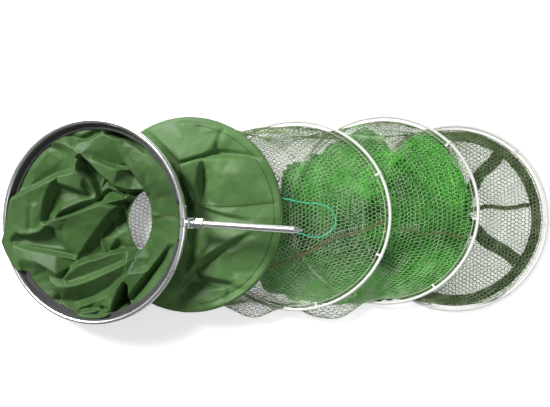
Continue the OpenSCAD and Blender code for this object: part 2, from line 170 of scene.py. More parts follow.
class Shade:
    """A material's node tree with short calls for the nodes that the materials here share."""

    def __init__(self, name, colour, rough=0.5, metal=0.0, **sockets):
        self.material = bpy.data.materials.new(name)
        self.material.use_nodes = True
        self.tree = self.material.node_tree
        self.shader = self.tree.nodes["Principled BSDF"]
        for socket, value in {"Base Color": (*colour, 1), "Roughness": rough, "Metallic": metal, **sockets}.items():
            self.shader.inputs[socket.replace("_", " ")].default_value = value
        self.place = self.node("ShaderNodeTexCoord").outputs["Object"]
        self.height = None

    def node(self, kind, *feeds, **properties):
        return add_node(self.tree, kind, *feeds, **properties)

    def noise(self, scale, detail=3.0, rough=0.5, stretch=None):
        place = self.place
        if stretch:
            place = self.node("ShaderNodeMapping", ("Vector", place), ("Scale", stretch)).outputs[0]
        made = self.node("ShaderNodeTexNoise", ("Vector", place), ("Scale", scale), ("Detail", detail),
                         ("Roughness", rough))
        return made.outputs["Fac"]

    def wave(self, scale, direction):
        made = self.node("ShaderNodeTexWave", ("Vector", self.place), ("Scale", scale), bands_direction=direction)
        return made.outputs["Fac"]

    def math(self, operation, a, b):
        return self.node("ShaderNodeMath", (0, a), (1, b), operation=operation).outputs[0]

    def between(self, value, low, high, to_low=0.0, to_high=1.0):
        made = self.node("ShaderNodeMapRange", ("Value", value), ("From Min", low), ("From Max", high),
                         ("To Min", to_low), ("To Max", to_high))
        return made.outputs[0]

    def blend(self, share, a, b):
        """A colour between a and b, each a colour or another node's output."""
        a, b = ((*c, 1) if isinstance(c, tuple) else c for c in (a, b))
        return self.node("ShaderNodeMix", (0, share), (6, a), (7, b), data_type="RGBA").outputs[2]

    def feed(self, socket, value):
        feed(self.tree, self.shader.inputs[socket], value)

    def colour(self, output):
        self.feed("Base Color", output)

    def rough(self, value, low, high):
        self.feed("Roughness", self.between(value, 0.3, 0.7, low, high))

    def bump(self, height, strength, distance):
        below = [("Normal", self.height)] if self.height else []
        made = self.node("ShaderNodeBump", ("Strength", strength), ("Distance", distance), ("Height", height), *below)
        self.height = made.outputs[0]
        self.feed("Normal", self.height)


def tinted(colour, factor, add=0.0):
    return tuple(min(1, c * factor + add) for c in colour)


def metal_material(name, colour, rough, brushed):
    """Anodised or bare metal: fine scratches, faint smudges and slightly darker wear."""
    s = Shade(name, colour, rough, 1.0)
    smudge = s.noise(60, 4)
    scratch = s.noise(900, 2, 0.6, (1, 0.06, 1) if brushed else None)
    s.colour(s.blend(s.between(smudge, 0.45, 0.75), colour, tinted(colour, 0.9)))
    worn = s.math("ADD", s.math("MULTIPLY", smudge, 0.6), s.math("MULTIPLY", scratch, 0.4))
    s.rough(worn, rough * 0.8, rough * 1.3)
    s.bump(scratch, 0.06, 0.0002)
    return s.material


def plastic_material(name, colour, rough=0.4):
    """Moulded or coated plastic: soft mottling and a fine grain."""
    s = Shade(name, colour, rough)
    mottle = s.noise(45, 4)
    s.colour(s.blend(s.between(mottle, 0.4, 0.7), colour, tinted(colour, 0.93)))
    s.rough(mottle, rough * 0.85, rough * 1.2)
    s.bump(s.noise(1600, 2), 0.08, 0.0001)
    return s.material


def weave_material(name, colour, rough, thread, strength, sheen=0.0, dusty=0.25):
    """Plain-woven cloth with cloudy wear, its threads laid by the cloth map in metres.

    A thread's bands repeat about three times in its stated width.
    """
    s = Shade(name, colour, rough, Sheen_Weight=sheen, Specular_IOR_Level=0.22)
    s.place = s.node("ShaderNodeUVMap", uv_map="cloth").outputs[0]
    bands = 1 / thread / 2 / math.pi * 6.28
    cross = s.math("MULTIPLY", s.wave(bands, "X"), s.wave(bands, "Y"))
    cloud = s.noise(9, 5, 0.6)
    fine = s.noise(700, 2)
    deep = tinted(colour, 0.72)
    clouded = s.blend(s.between(cloud, 0.35, 0.7), deep, tinted(colour, 1.35, 0.01))
    threaded = s.blend(s.math("MULTIPLY", cross, dusty), clouded, tinted(colour, 1.8))
    s.colour(s.blend(s.math("MULTIPLY", fine, 0.25), threaded, deep))
    s.rough(cloud, rough * 0.85, rough * 1.15)
    s.bump(cross, strength, thread * 0.35)
    s.bump(cloud, 0.15, 0.002)
    return s.material


def strand_material(name, bright, deep):
    """Net twine: the first pair of colours where the painted-light attribute is high, the second where low; the
    attribute paints light and shade into the twine's colour.
    """
    s = Shade(name, bright[0], 0.5, Specular_IOR_Level=0.3)
    painted_light = s.node("ShaderNodeAttribute", attribute_name="painted_light").outputs["Fac"]
    drift = s.noise(16, 3)
    share = s.between(s.math("ADD", painted_light, s.math("MULTIPLY", drift, 0.5)), 0.35, 0.85)
    high = s.blend(s.between(s.noise(45, 3), 0.35, 0.65), *bright)
    low = s.blend(s.between(s.noise(55, 3), 0.35, 0.65), *deep)
    s.colour(s.blend(share, low, high))
    s.bump(s.noise(2500, 1), 0.2, 0.0002)
    return s.material


def cord_material(name, colour, rough=0.6):
    """Twisted cord: fine lay marks and mottled dye."""
    s = Shade(name, colour, rough)
    mottle = s.noise(120, 3)
    s.colour(s.blend(s.between(mottle, 0.3, 0.75), colour, tinted(colour, 0.7)))
    s.bump(s.noise(2200, 2), 0.25, 0.0003)
    return s.material


WHITE_METAL = metal_material("white_metal", (0.93, 0.935, 0.94), 0.3, False)
SATIN_METAL = metal_material("satin_metal", (0.78, 0.79, 0.8), 0.3, True)
DULL_METAL = metal_material("dull_metal", (0.55, 0.56, 0.58), 0.35, False)
DARK_METAL = metal_material("dark_metal", (0.16, 0.16, 0.17), 0.4, False)
WIRE = plastic_material("coated_wire", (0.86, 0.86, 0.82), 0.35)
CLIP = plastic_material("clip_plastic", (0.86, 0.86, 0.82), 0.4)
FABRIC = weave_material("coated_fabric", (0.076, 0.164, 0.048), 0.5, 0.0105, 0.035, 0.04, 0.5)
FABRIC_IN = weave_material("coated_fabric_inner", (0.049, 0.112, 0.029), 0.4, 0.0011, 0.2, 0.03, 0.1)
TAPE = weave_material("lining_tape", (0.045, 0.047, 0.046), 0.7, 0.0024, 0.9, 0.2, 0.6)
WEBBING = weave_material("webbing", (0.04, 0.062, 0.02), 0.7, 0.0021, 0.9, 0.2, 0.5)
# Net twine: olive where spread, and a painted vivid green where gathered, standing for light thrown up by the dense
# green net below
NET = strand_material(
    "net_twine", ((0.26, 0.5, 0.2), (0.55, 0.74, 0.46)), ((0.14, 0.22, 0.09), (0.32, 0.42, 0.22)))
# Throat net twine, near black in both pairs: painted shade of the sleeve over the green net
NET_FINE_SHADED = strand_material(
    "net_fine_painted_shade", ((0.03, 0.06, 0.03), (0.1, 0.16, 0.1)), ((0.02, 0.045, 0.02), (0.1, 0.16, 0.1)))
# Bunched net twine: its vivid green, turning near black as painted shade where the painted tone is low
NET_SLACK = strand_material(
    "net_twine_bunched", ((0.1, 0.63, 0.05), (0.25, 0.82, 0.15)), ((0.01, 0.08, 0.015), (0.03, 0.2, 0.03)))
# Twine of the two lowest slack layers, from dark green to near black: painted shade in the holes of the bundle
NET_UNDER_SHADED = strand_material(
    "net_twine_under_painted_shade", ((0.04, 0.34, 0.025), (0.09, 0.5, 0.05)), ((0.006, 0.035, 0.008), (0.015, 0.1, 0.015)))
SEAM = cord_material("net_seam", (0.24, 0.2, 0.1))
EDGE_CORD = cord_material("edge_cord", (0.5, 0.52, 0.4))
TIE_CORD = cord_material("tie_cord", (0.08, 0.72, 0.47), 0.45)
DARK_THREAD = cord_material("dark_thread", (0.02, 0.045, 0.014))

RIGID = {
    WHITE_METAL: ["mouth_ring", "bracket_sleeve_upper", "bracket_sleeve_lower", "lock_nut", "spike_tube"],
    SATIN_METAL: ["swivel_block", "spike_point", "hoop_2_ferrule", "hoop_3_ferrule", "hoop_4_ferrule",
                  "hoop_5_ferrule"],
    DULL_METAL: ["pivot_pin", "spike_stud", "sleeve_rivets"],
    DARK_METAL: ["ring_rivet"],
    WIRE: ["hoop_2_wire", "hoop_3_wire", "hoop_4_wire", "hoop_5_wire"],
    CLIP: ["hoop_3_clips", "hoop_4_clips", "hoop_5_clips"],
}
for material, names in RIGID.items():
    for name in names:
        for material_slot in NODES[name].material_slots:
            material_slot.material = material

# ---------------------------------------------------------------- rings and mesh helpers

# Rings are numbered from 1, the mouth, to 5, the last hoop; their leans are in degrees
LEANS = {1: 14, 2: 11, 3: 6.5, 4: 3.5, 5: 0}
HOOP_R = 0.1723
EDGE_R = 0.1641
BODY = {1: "mouth"}
CENTRES = {1: np.array([-0.33121, -0.0065, 0.04973])}
for ring in (2, 3, 4, 5):
    BODY[ring] = f"hoop_{ring}"
    low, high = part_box(f"hoop_{ring}_wire")
    CENTRES[ring] = np.array((low + high) / 2)


def full_turn(n):
    """Angles of n points all round, from 0."""
    return np.linspace(0, 2 * math.pi, n, endpoint=False)


def on_ring(k, r, a, h):
    """Points of ring k at radius r, angle a in radians and height h above its plane."""
    lean = math.radians(LEANS[k])
    r, a, h = np.broadcast_arrays(np.asarray(r, float), np.asarray(a, float), np.asarray(h, float))
    x, y = r * np.cos(a), r * np.sin(a)
    turned = [x * math.cos(lean) - h * math.sin(lean), y, x * math.sin(lean) + h * math.cos(lean)]
    return CENTRES[k] + np.stack(turned, -1)


def plane_z(k, x):
    """Height of ring k's plane at x."""
    return CENTRES[k][2] + (x - CENTRES[k][0]) * math.tan(math.radians(LEANS[k]))


def waves(seed, turns, sizes, drifts):
    """A smooth field over angle a and way v along a tube, periodic in a: a sum of sines."""
    rng = np.random.default_rng(seed)
    parts = [(n, s, d, *rng.uniform(0, 2 * math.pi, 2)) for n, s, d in zip(turns, sizes, drifts)]

    def field(a, v):
        return sum(s * np.sin(n * a + d * v + p) * np.cos(0.37 * d * v + q) for n, s, d, p, q in parts)

    return field


def ease(x):
    x = np.clip(x, 0, 1)
    return x * x * (3 - 2 * x)


def bell(x, middle, width):
    return np.exp(-(((x - middle) / width) ** 2))


def add_mesh(name, points, faces, material):
    mesh = bpy.data.meshes.new(name)
    points = np.asarray(points, float).reshape(-1, 3)
    mesh.from_pydata(points.tolist(), [], [tuple(map(int, f)) for f in faces])
    mesh.validate()
    mesh.polygons.foreach_set("use_smooth", [True] * len(mesh.polygons))
    mesh.materials.append(material)
    made = bpy.data.objects.new(name, mesh)
    bpy.context.scene.collection.objects.link(made)
    return made


def grid_faces(rows, columns, closed=False):
    """Quads over a grid of points stored row by row, each row a loop; closed joins the last row to the first."""
    i, j = np.meshgrid(np.arange(columns), np.arange(rows if closed else rows - 1))
    i2, j2 = (i + 1) % columns, (j + 1) % rows
    return np.stack([j * columns + i, j * columns + i2, j2 * columns + i2, j2 * columns + i], -1).reshape(-1, 4)


def sweep_faces(n, m, closed):
    """Faces of a section of m points at n places of a path, each open end shut by one face."""
    faces = grid_faces(n, m, closed).tolist()
    if not closed:
        faces += [list(range(m - 1, -1, -1)), list(range((n - 1) * m, n * m))]
    return faces


def run_along(path):
    """How far each point of a path lies from its start, measured along it."""
    return np.concatenate([[0], np.cumsum(np.linalg.norm(np.diff(path, axis=0), axis=1))])


def set_uv(made, uv):
    """Gives the mesh its cloth map from one (u, v) in metres for each vertex."""
    mesh = made.data
    layer = mesh.uv_layers.new(name="cloth")
    index = np.empty(len(mesh.loops), int)
    mesh.loops.foreach_get("vertex_index", index)
    layer.data.foreach_set("uv", np.asarray(uv, np.float32)[index].reshape(-1))


def frames_along(path, closed):
    """Unit vectors across a path, one near level and one near upright."""
    ahead = np.roll(path, -1, 0) - np.roll(path, 1, 0)
    if not closed:
        ahead[0], ahead[-1] = path[1] - path[0], path[-1] - path[-2]
    ahead /= np.linalg.norm(ahead, axis=1)[:, None]
    side = np.cross([0, 0, 1.0], ahead)
    side /= np.linalg.norm(side, axis=1)[:, None] + 1e-12
    return side, np.cross(ahead, side)


def tube(name, path, radius, sides, material, twist, lobe, closed=False):
    """A three-lobed cord along a path, with its lobes twisted along it."""
    path = np.asarray(path, float)
    side, up = (v[:, None] for v in frames_along(path, closed))
    turn = 2 * math.pi * np.arange(sides) / sides
    phase = turn[None, :] + twist * run_along(path)[:, None]
    r = radius * (1 - lobe + lobe * np.cos(3 * phase))[..., None]
    c, s = np.cos(turn)[None, :, None], np.sin(turn)[None, :, None]
    ring = path[:, None] + r * (c * side + s * up)
    return add_mesh(name, ring, sweep_faces(len(path), sides, closed), material)


# ---------------------------------------------------------------- tie cord

# Places of the loop in millimetres
TIE_PLACES = [
    [10, 35, 67.5], [18, 33, 67.2], [28, 31, 67], [41, 28, 65.8], [57, 26, 64], [73, 25, 62.2],
    [85, 22, 60.8], [95, 15, 59.8], [102, 5, 59.2], [104, -7, 58.8], [100, -17, 58.8],
    [93, -25, 59], [84, -31, 59.6], [73, -34, 60.8], [59, -32, 62.6], [45, -28, 64.4],
    [29, -24, 66.4], [18, -21, 67.2], [10, -20, 67.5],
]
TIE_D = 0.002


def spline(points, steps):
    """A Catmull-Rom curve through the points."""
    p = np.asarray(points, float)
    p = np.concatenate([p[:1], p, p[-1:]])
    t = (np.arange(steps) / steps)[:, None]
    way = []
    for a, b, c, d in zip(p, p[1:], p[2:], p[3:]):
        way.append(0.5 * (2 * b + (c - a) * t + (2 * a - 5 * b + 4 * c - d) * t**2 + (3 * b - a - 3 * c + d) * t**3))
    return np.concatenate([*way, p[-1:]])


def make_tie_cord():
    path = spline(np.array(TIE_PLACES) * MM, 10)
    cord = tube("tie_cord", path, TIE_D / 2, 12, TIE_CORD, 1800, 0.06)
    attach(cord, "hoop_2")
    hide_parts("tie_loop")


make_tie_cord()

# ---------------------------------------------------------------- nets

CELL_W, CELL_H = 0.0074, 0.0065
STRAND_R = 0.0005
SEAM_R = 0.0006
ZIG = 0.3
SHORTEST = 1e-5

# Least height of twine over the floor, and its height over the plane of a wire that it crosses
GROUND = 0.0012
OVER_WIRE, SLACK_OVER_WIRE = 0.0055, 0.0045

# Heights over the floor at which places in the slack net are read from the view
LOW_NET_Z = 0.012
GATHERED_Z = 0.014

# Outline, as the camera shows it, of the part where the slack net lies gathered
GATHERED = [
    (284, 170), (300, 160), (326, 149), (343, 137), (352, 127), (366, 126), (378, 132), (390, 146), (397, 151),
    (406, 143), (416, 133), (432, 131), (452, 144), (467, 170), (475, 200), (475, 234), (467, 261), (452, 282),
    (430, 292), (404, 299), (372, 303), (340, 306), (308, 304), (284, 298), (262, 288), (250, 268), (258, 240),
    (274, 208),
]


GATHERED_AT = np.array([seen(x, y, GATHERED_Z)[:2] for x, y in GATHERED])


def gathered(x, y):
    """How far points lie inside the gathered part, from 0 outside it to 1 well inside."""
    point = np.stack([x, y], -1)[..., None, :]
    a, b = GATHERED_AT, np.roll(GATHERED_AT, -1, 0)
    edge = b - a
    share = np.clip(((point - a) * edge).sum(-1) / (edge**2).sum(-1), 0, 1)
    away = np.linalg.norm(point - a - share[..., None] * edge, axis=-1).min(-1)
    crossed = ((a[:, 1] > y[..., None]) != (b[:, 1] > y[..., None])) & (
        x[..., None] < edge[:, 0] * (y[..., None] - a[:, 1]) / (edge[:, 1] + 1e-12) + a[:, 0])
    inside = crossed.sum(-1) % 2 == 1
    return ease(np.where(inside, away, -away) / 0.016 + 0.5)


def round_pixel(p, x, y, size):
    """The way from the low net's place at pixel (x, y) to points, and how near to it they are, up to 1."""
    away = p - seen(x, y, LOW_NET_Z)
    return away, bell(np.hypot(away[..., 0], away[..., 1]), 0, size)


def net_mesh(name, place, around, rows, wrap, radius, painted_light, material):
    """A hexagonal net of knotless twine, three-sided prisms along every leg of the mesh.

    place(u, v) gives points for lattice places u in cells around and v in rows; painted_light(points)
    gives the share of painted light and shade on the twine there.
    """
    columns = 2 * around
    i, j = np.meshgrid(np.arange(columns), np.arange(rows))
    zig = ZIG * np.where((i + j) % 2, 1, -1)
    u, v = i / 2.0, j + zig / 2
    knots = place(u, v)
    level = painted_light(knots).reshape(-1)
    flat = knots.reshape(-1, 3)
    here, beside = j * columns + i, j * columns + (i + 1) % columns
    width = columns if wrap else columns - 1
    odd = ((i + j) % 2 == 1)[:-1]
    starts = np.concatenate([here[:, :width].reshape(-1), here[:-1][odd]])
    ends = np.concatenate([beside[:, :width].reshape(-1), (here + columns)[:-1][odd]])
    keep = np.linalg.norm(flat[ends] - flat[starts], axis=1) > SHORTEST
    starts, ends = starts[keep], ends[keep]
    made = prisms(name, flat[starts], flat[ends], radius, material)
    values = np.repeat(np.stack([level[starts], level[ends]], 1), 3, axis=1).reshape(-1)
    attribute = made.data.attributes.new("painted_light", "FLOAT", "POINT")
    attribute.data.foreach_set("value", values.astype(np.float32))
    return made


def prisms(name, p, q, radius, material):
    """Short three-sided legs of thread from the points p to the points q."""
    way = (q - p) / np.linalg.norm(q - p, axis=1)[:, None]
    up = np.array([0, 0, 1.0]) - way * way[:, 2:]
    weak = np.linalg.norm(up, axis=1) < 0.05
    up[weak] = [1.0, 0, 0] - way[weak] * way[weak][:, :1]
    up /= np.linalg.norm(up, axis=1)[:, None]
    side = np.cross(way, up)
    over = 0.4 * radius * way
    corners = []
    for end in (p - over, q + over):
        for turn in (90, 210, 330):
            c, s = math.cos(math.radians(turn)), math.sin(math.radians(turn))
            corners.append(end + radius * (c * side + s * up))
    points = np.stack(corners, 1).reshape(-1, 3)
    base = 6 * np.arange(len(p))[:, None]
    faces = np.concatenate([base + [0, 1, 4, 3], base + [1, 2, 5, 4], base + [2, 0, 3, 5]])
    return add_mesh(name, points, faces, material)


def below_plane(k, depth):
    """A point on ring k's axis, that far below its plane."""
    return tuple(on_ring(k, 0, 0, -depth))


def net_wall(k, around, rows, lobes, seed, knots=()):
    """A function that places the net wall from ring k to ring k + 1, slack and lying low.

    lobes hang out or in: angle, its width, share of the way, its length, reach. knots draw the
    net together: view pixel, reach, share.
    """
    rough = waves(seed, (2, 3, 5, 8), (0.3, 0.35, 0.25, 0.15), (2, 4, 6, 9))
    ripple = waves(seed + 1, (5, 9, 14, 21), (0.5, 0.35, 0.2, 0.1), (3, 5, 8, 12))
    start_r, start_h = (HOOP_R - 0.003, -0.004) if k == 2 else (EDGE_R, -0.001)

    def place(u, v):
        a = 2 * math.pi * u / around
        t = np.clip(v / (rows - 1), 0, 1)
        far = (1 - np.cos(a)) / 2
        slack = np.sin(math.pi * t)
        p0 = on_ring(k, start_r, a, start_h)
        p2 = on_ring(k + 1, EDGE_R, a, -0.0005)
        way = t + (0.05 * rough(a, 2 * t) + 0.1 * (far - 0.4)) * slack
        p = p0 + (p2 - p0) * way[..., None]
        out = np.stack([np.cos(a), np.sin(a), 0 * a], -1)
        side = np.stack([-np.sin(a), np.cos(a), 0 * a], -1)
        p = p + out * ((-0.004 + 0.005 * rough(a + 1, 3 * t)) * slack)[..., None]
        p = p + side * (0.009 * rough(a + 2, 2 * t + 1) * slack)[..., None]
        for lobe_a, lobe_width, lobe_t, length, reach in lobes:
            turn = (a - math.radians(lobe_a) + math.pi) % (2 * math.pi) - math.pi
            p = p + out * (reach * bell(turn, 0, math.radians(lobe_width)) * bell(t, lobe_t, length))[..., None]
        for x, y, size, pull in knots:
            away, near = round_pixel(p, x, y, size)
            p = p - away * (pull * near * slack)[..., None]
        drop = (0.3 + 0.5 * far) * slack
        p[..., 2] = p[..., 2] * (1 - drop) + GATHERED_Z * drop + 0.003 * ripple(a, 2 * t) * slack
        floor = GROUND + 0.001 * (1 + ripple(a, 3 * t))
        r2 = np.hypot(p[..., 0] - CENTRES[k + 1][0], p[..., 1] - CENTRES[k + 1][1])
        near = bell(r2, HOOP_R, 0.012) * (t < 0.97)
        floor = np.maximum(floor, near * (plane_z(k + 1, p[..., 0]) + OVER_WIRE))
        p[..., 2] = np.maximum(p[..., 2], floor)
        return p

    return place


def cross_blend(made, k):
    """Bakes the placement of a piece between rings k and k + 1 into its mesh; the points below ring k that it works
    out are not used.
    """
    depth = CENTRES[k][2] - CENTRES[k + 1][2] + 0.5 * HOOP_R * (
        math.tan(math.radians(LEANS[k])) - math.tan(math.radians(LEANS[k + 1])))
    depth = min(depth, 0.9 * (plane_z(k, CENTRES[k + 1][0] - HOOP_R) - plane_z(k + 1, CENTRES[k + 1][0] - HOOP_R)))
    below_plane(k, 0.004)
    below_plane(k, depth)
    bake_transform(made)


def net_tube(k, rows, lobes, seed, knots=(), seams=()):
    """The net from ring k to ring k + 1, with its sewn seams."""
    around = int(round(2 * math.pi * EDGE_R / CELL_W))
    place = net_wall(k, around, rows, lobes, seed, knots)

    # How gathered the net is, by the gathered outline and the knots, used as the share of painted light on the twine
    def painted_light(p):
        found = gathered(p[..., 0], p[..., 1])
        for x, y, size, pull in knots:
            found = np.maximum(found, 1.3 * pull * round_pixel(p, x, y, size)[1])
        return found

    name = f"net_{k}_{k + 1}"
    made = net_mesh(f"{name}_twine", place, around, rows, True, STRAND_R, painted_light, NET)
    cross_blend(made, k)
    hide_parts(name)
    for n, (first, last) in enumerate(seams):
        t = np.linspace(0, 1, 70)
        turn = np.radians(first + (last - first) * t) / (2 * math.pi) * around
        path = place(turn, t * (rows - 1)) + [0, 0, SEAM_R]
        seam = tube(f"{name}_seam_{n + 1}", path, SEAM_R, 6, SEAM, 700, 0.15)
        cross_blend(seam, k)


# Ring, rows, lobes, seed, knots, and seams from one angle to another
net_tube(2, 27, [(-93, 14, 0.62, 0.16, 0.026), (90, 26, 0.45, 0.3, -0.016), (115, 14, 0.88, 0.1, 0.008)], 11, (),
         [(-36, -3), (-37, -4), (-35, -2), (18, 66)])
net_tube(3, 21, [(-93, 15, 0.42, 0.28, 0.034), (90, 24, 0.45, 0.3, -0.022)], 23, (), [(-6, -17), (-7, -18)])
net_tube(4, 20, [(-60, 14, 0.85, 0.16, 0.012), (90, 24, 0.45, 0.3, -0.016)], 37,
         [(484, 179, 0.014, 0.5), (511, 210, 0.011, 0.5), (487, 231, 0.010, 0.5), (513, 178, 0.008, 0.4)])

# Painted light and shade on the gathered net, where it looks bright or deep: view pixel, reach in pixels, and tone,
# added to a middle share, above nought painted light and below nought painted shade
PAINTED_TONES = [
    (306, 181, 16, 0.35), (356, 176, 20, 0.25), (312, 285, 26, 0.4), (345, 295, 20, 0.3), (395, 148, 18, 0.35),
    (444, 165, 24, 0.55), (432, 270, 18, 0.35), (408, 290, 16, 0.3), (455, 196, 10, 0.3),
    (300, 240, 18, -0.45), (340, 228, 18, -0.4), (372, 212, 14, -0.4), (330, 255, 20, -0.3), (368, 250, 18, -0.35),
    (410, 185, 14, -0.2), (435, 198, 12, -0.15), (462, 210, 10, -0.2), (420, 240, 22, -0.2), (455, 240, 14, -0.2),
    (398, 225, 12, 0.1), (388, 262, 14, -0.3),
]


def painted_tone(p):
    """How brightly the gathered twine is painted, from 0, painted deep shade, to 1, vivid and painted lit."""
    total = 0.5 + 0 * p[..., 0]
    for x, y, size, add in PAINTED_TONES:
        total = total + add * round_pixel(p, x, y, size * FLOOR_PER_PIXEL)[1]
    return np.clip(total, 0, 1)


def slack_net(name, middle, size, turn, layer, seed, shift, wide, tall, thick, material):
    """A loose bundle of net inside the fourth hoop, its meshes drawn closed and its edges folded under."""
    cells = int(2.7 * size / wide)
    rows = int(2.7 * size / tall)
    warp = waves(seed, (2, 3, 5, 7), (0.4, 0.3, 0.2, 0.15), (2, 3, 5, 8))
    fine = waves(seed + 1, (6, 11, 17, 25), (0.4, 0.35, 0.3, 0.25), (8, 15, 22, 35))
    centre = seen(*middle, GATHERED_Z)[:2]
    angles = np.arctan2(*(GATHERED_AT - centre).T[::-1])
    reach = np.linalg.norm(GATHERED_AT - centre, axis=1)
    order = np.argsort(angles)
    angles, reach = angles[order], reach[order]

    def place(u, v):
        x, y = (u - cells / 2) * wide, (v - rows / 2) * tall
        x, y = x * math.cos(turn) - y * math.sin(turn), x * math.sin(turn) + y * math.cos(turn)
        r, a = np.hypot(x, y), np.arctan2(y, x)
        limit = np.interp(a, angles, reach, period=2 * math.pi) * (0.97 + 0.06 * fine(a, 0 * a) - shift)
        way = r / size
        fold = np.clip(way * (1 + 0.2 * warp(a, way)), 0, 1.9)
        r = limit * (0.7 * (1 - np.abs(1 - fold)) + 0.3 * np.sin(math.pi / 2 * fold))
        a = a + 0.16 * warp(a + 1, 2 * way)
        px, py = centre[0] + r * np.cos(a), centre[1] + r * np.sin(a)
        px = px + 0.008 * fine(a, 2 * way) * ease(r / 0.05)
        py = py + 0.008 * fine(a + 2, 2 * way + 1) * ease(r / 0.05)
        lift = layer + 0.003 * fine(2 * a, 3 * way) - 0.005 * ease((way - 0.9) / 0.3)
        top = np.minimum(plane_z(4, px), plane_z(3, px)) - 0.0035
        z = np.clip(lift, GROUND, np.maximum(top, GROUND))
        if layer > 0.01:
            r4 = np.hypot(px - CENTRES[4][0], py - CENTRES[4][1])
            z = np.maximum(z, (px < CENTRES[4][0]) * bell(r4, 0.169, 0.012) * (plane_z(4, px) + SLACK_OVER_WIRE))
        return np.stack([px, py, z], -1)

    made = net_mesh(name, place, cells, rows, False, thick, painted_tone, material)
    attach(made, "hoop_4")


# Name, middle pixel, size, turn, height, seed, share drawn in, mesh width and height, twine radius, material
# The two lowest layers take the near-black twine as painted shade under the bundle
slack_net("net_slack_floor", (364, 222), 0.150, 0.3, 0.002, 121, 0.03, 0.0021, 0.0080, 0.0010, NET_UNDER_SHADED)
slack_net("net_slack_low", (362, 222), 0.150, 1.9, 0.005, 131, 0.0, 0.0024, 0.0075, 0.0008, NET_UNDER_SHADED)
slack_net("net_slack_middle", (368, 224), 0.148, 1.2, 0.009, 141, 0.02, 0.0032, 0.0072, 0.0006, NET_SLACK)
slack_net("net_slack_high", (372, 216), 0.145, -0.5, 0.013, 151, 0.04, 0.0038, 0.0070, 0.00055, NET_SLACK)

# ---------------------------------------------------------------- base of the last section


def base_place(u, v):
    """The flat base net, a little uneven."""
    x = v * CELL_H - 0.18
    y = u * CELL_W - 0.17
    lift = 0.0007 * np.sin(37 * x + 3) * np.cos(41 * y) + 0.0003 * np.sin(210 * x + 130 * y)
    return CENTRES[5] + np.stack([x + 0.0006 * np.sin(60 * y), y + 0.0006 * np.sin(70 * x), lift], -1)


# No painted light: the twine keeps its second pair of colours
def no_painted_light(p):
    return 0 * p[..., 0]


def make_base_net():
    around, rows = int(0.34 / CELL_W), int(0.36 / CELL_H)
    made = net_mesh("base_net_twine", base_place, around, rows, False, 1.5 * STRAND_R, no_painted_light, NET)
    mesh = made.data
    co = np.empty(len(mesh.vertices) * 3, np.float32)
    mesh.vertices.foreach_get("co", co)
    co = co.reshape(-1, 3)
    r = np.hypot(co[:, 0] - CENTRES[5][0], co[:, 1] - CENTRES[5][1])
    inside = (r < EDGE_R + 0.001).reshape(-1, 6).all(1)
    bm = bmesh.new()
    bm.from_mesh(mesh)
    bm.verts.ensure_lookup_table()
    gone = [bm.verts[n] for n in np.nonzero(~np.repeat(inside, 6))[0]]
    bmesh.ops.delete(bm, geom=gone, context="VERTS")
    bm.to_mesh(mesh)
    bm.free()
    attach(made, "hoop_5")
    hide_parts("base_net")


def ribbon(name, path, width, thickness, material, curl=None):
    """A flat strap along a path, its rounded section lying level; without a curl the path is a loop."""
    closed = curl is None
    side, up = frames_along(path, closed)
    if not closed:
        side = side + up * curl[:, None]
        side /= np.linalg.norm(side, axis=1)[:, None]
        up = np.cross(np.roll(path, -1, 0) - path, side)
        up[-1] = up[-2]
        up /= np.linalg.norm(up, axis=1)[:, None]
        up *= np.sign(up[:, 2:3] + 1e-9)
    w, t = width / 2, thickness / 2
    outline = [(-w, 0), (-w * 0.94, t), (-w * 0.5, t * 0.9), (0, t), (w * 0.5, t * 0.9), (w * 0.94, t), (w, 0),
               (w * 0.94, -t), (0, -t), (-w * 0.94, -t)]
    ring = np.stack([path + x * side + y * up for x, y in outline], 1)
    n, m = len(path), len(outline)
    made = add_mesh(name, ring, sweep_faces(n, m, closed), material)
    set_uv(made, np.stack([np.repeat(run_along(path), m), np.tile([x for x, _ in outline], n)], -1))
    return made


# The webbing's width, thickness in the band and the straps, and height from the last hoop's plane
WEBBING_W, BAND_T, STRAP_T = 0.018, 0.0012, 0.0011
WEBBING_Z = -0.0021

# Angle in degrees of each strap, and its width as seen, next to the webbing's: some lie on edge
STRAPS = [(98, 1.1), (55, 1.3), (10, 0.45), (-35, 1.35), (-119, 1.1), (150, 0.9), (186, 1)]


def make_webbing():
    a = full_turn(240)
    wobble = waves(51, (5, 9, 16), (1, 0.7, 0.5), (0, 0, 0))(a, 0 * a)
    radius = EDGE_R - 0.011 + 0.0012 * wobble
    path = on_ring(5, radius, a, WEBBING_Z + 0.0003 * wobble)
    band = ribbon("base_band_webbing", path, WEBBING_W, BAND_T, WEBBING)
    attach(band, "hoop_5")
    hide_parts("base_band")
    hub = seen(452, 212, 0.002) - CENTRES[5]
    pieces = []
    for n, (angle, width) in enumerate(STRAPS):
        t = np.linspace(0, 1, 40)
        c, s = math.cos(math.radians(angle)), math.sin(math.radians(angle))
        end = np.array([(EDGE_R - 0.02) * c, (EDGE_R - 0.02) * s, 0])
        line = hub * np.array([1, 1, 0]) * (1 - t[:, None]) + end * t[:, None]
        across = np.array([-s, c, 0])
        sway = 0.004 * np.sin(9 * t + 2 * n) * np.sin(math.pi * t)
        line = line + across * sway[:, None]
        line[:, 2] = WEBBING_Z + 0.0001 * n
        curl = 0.25 * np.sin(11 * t + n) * (1.8 if width < 0.6 else 0.4)
        pieces.append(ribbon(f"base_strap_{n + 1}", CENTRES[5] + line, WEBBING_W * width, STRAP_T, WEBBING, curl))
    for strap in pieces:
        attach(strap, "hoop_5")
    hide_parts("base_straps")


make_base_net()
make_webbing()

# ---------------------------------------------------------------- edge cords

EDGE_CORD_R = 0.0009


